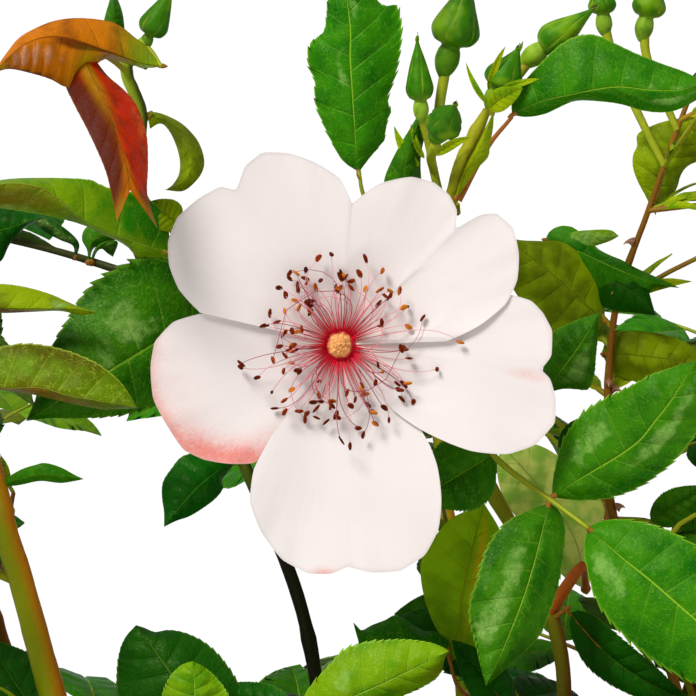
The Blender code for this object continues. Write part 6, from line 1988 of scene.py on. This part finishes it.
def makeSoil():
    form = soilForm
    draw = np.random.default_rng(21)
    edge = potInner(soil["top"]) - 2 * clear
    share = np.linspace(0, 1, form["rings"])[:, None]
    turn = fullTurn(form["around"])
    radius = np.maximum(edge * share, 0.05 * mm)
    height = soil["top"] + soil["dome"] * (1 - (radius / pot["mouthRadius"]) ** 2)
    rough = sum(
        draw.normal() * np.sin(radius * f * np.cos(turn - a) + b)
        for f, a, b in zip(draw.uniform(120, 900, 24), draw.uniform(0, 6.3, 24), draw.uniform(0, 6.3, 24))
    )
    height = height + form["rough"] * 0.35 * rough * (share < 0.97)
    points = ringed(radius, turn, height)
    points = np.concatenate([points, points[-1:] - (0, 0, form["skirt"])])
    bed = Heap()
    bed.grid(points, (turn, np.append(share, 1)[:, None], 0.3), around=True, flip=True)
    bed.piece("soil_bed", soilFinish("peat", (64, 44, 30), (34, 22, 15)), "soil", "soil")
    kinds = (
        ("soil_crumbs", "crumbs", (0.7, 2.6), (1, 0.85, 0.7), ("crumb", (78, 54, 36), (40, 26, 18))),
        ("bark_chips", "chips", (2.2, 5.2), (1, 0.5, 0.28), ("chip", (134, 92, 60), (84, 52, 32))),
        ("mineral_grains", "grains", (0.8, 1.7), (1, 0.9, 0.8), ("grain", (232, 228, 216), (196, 190, 176))),
    )
    for name, count, sizes, shape, colours in kinds:
        heap = Heap()
        for _ in range(form[count]):
            out, angle = (edge - 3 * mm) * math.sqrt(draw.random()), draw.uniform(0, 2 * math.pi)
            size = draw.uniform(*sizes) * mm
            place = (out * math.cos(angle), out * math.sin(angle), soilHeight(out) + size * 0.2)
            stone(heap, np.array(place), size * np.array(shape), draw)
        heap.piece(name, soilFinish(*colours), "soil", "soil")


def stone(heap, place, size, draw):
    # A rounded lump with uneven sides, turned at random
    rows, columns = 5, 7
    a = np.linspace(0.12, np.pi - 0.12, rows)[:, None]
    b = fullTurn(columns)
    grown = draw.uniform(0.72, 1.12, (rows, columns))
    lump = ringed(np.sin(a), b, np.cos(a)) * grown[..., None] / 2
    turn = Quaternion(draw.normal(0, 1, 4)).normalized().to_matrix()
    flat = Quaternion((1, *(draw.normal(0, 0.25, 2)), draw.uniform(-1, 1))).normalized().to_matrix()
    points = (lump * size) @ np.array(flat if size[2] < size[0] * 0.5 else turn).T + place
    last = rows * columns - 1
    caps = [(0, k + 1, k) for k in range(1, columns - 1)]
    caps += [(last, last - k - 1, last - k) for k in range(1, columns - 1)]
    heap.grid(points, (grown, a, draw.random()), around=True, flip=True, caps=caps)


def soilFinish(name, light, dark):
    finish = Finish(name, {"Roughness": 0.9, "Specular IOR Level": 0.2})
    place = finish.place()
    clod = finish.noise(320, 4.0, 0.65)
    colour = finish.mix(finish.rise(clod, 0.35, 0.68), dark, light)
    finish.feed("Base Color", finish.vary(colour, 0.5, 0.7 + place.out("Z") * 0.55))
    finish.relief(clod + finish.noise(1500, 3.0) * 0.4, 0.6 * mm)
    return finish


# Stage: a plain pale floor, a soft sun from the upper left, a pale sky and the camera

stageForm = {
    "floor": 30.0, "floorShade": (250, 250, 250), "sky": 0.36,
    "sun": 2.9, "sunSize": 20, "sunFrom": (-0.6, -0.62, 1.1),
}


def makeStage():
    form = stageForm
    finish = Finish("floor", {"Roughness": 0.9, "Specular IOR Level": 0.0})
    finish.shader.inputs["Base Color"].default_value = shade(*form["floorShade"])
    place = (0, 0, -0.2 * mm)
    bpy.ops.mesh.primitive_circle_add(vertices=128, radius=form["floor"], fill_type="NGON", location=place)
    floor = bpy.context.object
    floor.name = "floor"
    floor.data.materials.append(finish.material)
    world, scene = bpy.data.worlds.new("sky"), bpy.context.scene
    scene.world = world
    world.use_nodes = True
    sky = world.node_tree.nodes["Background"]
    sky.inputs["Color"].default_value = (1, 1, 1, 1)
    sky.inputs["Strength"].default_value = form["sky"]
    sun = bpy.data.lights.new("sun", "SUN")
    sun.energy, sun.angle = form["sun"], math.radians(form["sunSize"])
    lamp = bpy.data.objects.new("sun", sun)
    lamp.rotation_euler = Vector(form["sunFrom"]).to_track_quat("Z", "Y").to_euler()
    scene.collection.objects.link(lamp)
    lens = bpy.data.cameras.new("camera")
    lens.sensor_width = view["sensor"]
    lens.lens = view["sensor"] / 2 * viewDistance / (pictureMiddle * pixel)
    lens.clip_start, lens.clip_end = 0.01, 60
    camera = bpy.data.objects.new("camera", lens)
    camera.location = eye
    camera.rotation_euler = look.to_track_quat("-Z", "Y").to_euler()
    scene.collection.objects.link(camera)
    scene.camera = camera
    scene.view_settings.view_transform = "Standard"


makeStage()
print("stage made")
canes, blooms, space = planPlant()
print("plan made:", leafletCount(canes), "leaflets")
for seed, (name, cane) in enumerate(canes.items()):
    growFiner(random.Random(500 + seed), name, cane, space)
print("finer growth:", leafletCount(canes), "leaflets")
drawShownLeaves(canes)
makeFoliage(canes)
makeCanes(canes)
makeBuds(canes)
makeBlooms(canes, blooms)
makePot()
makeSoil()
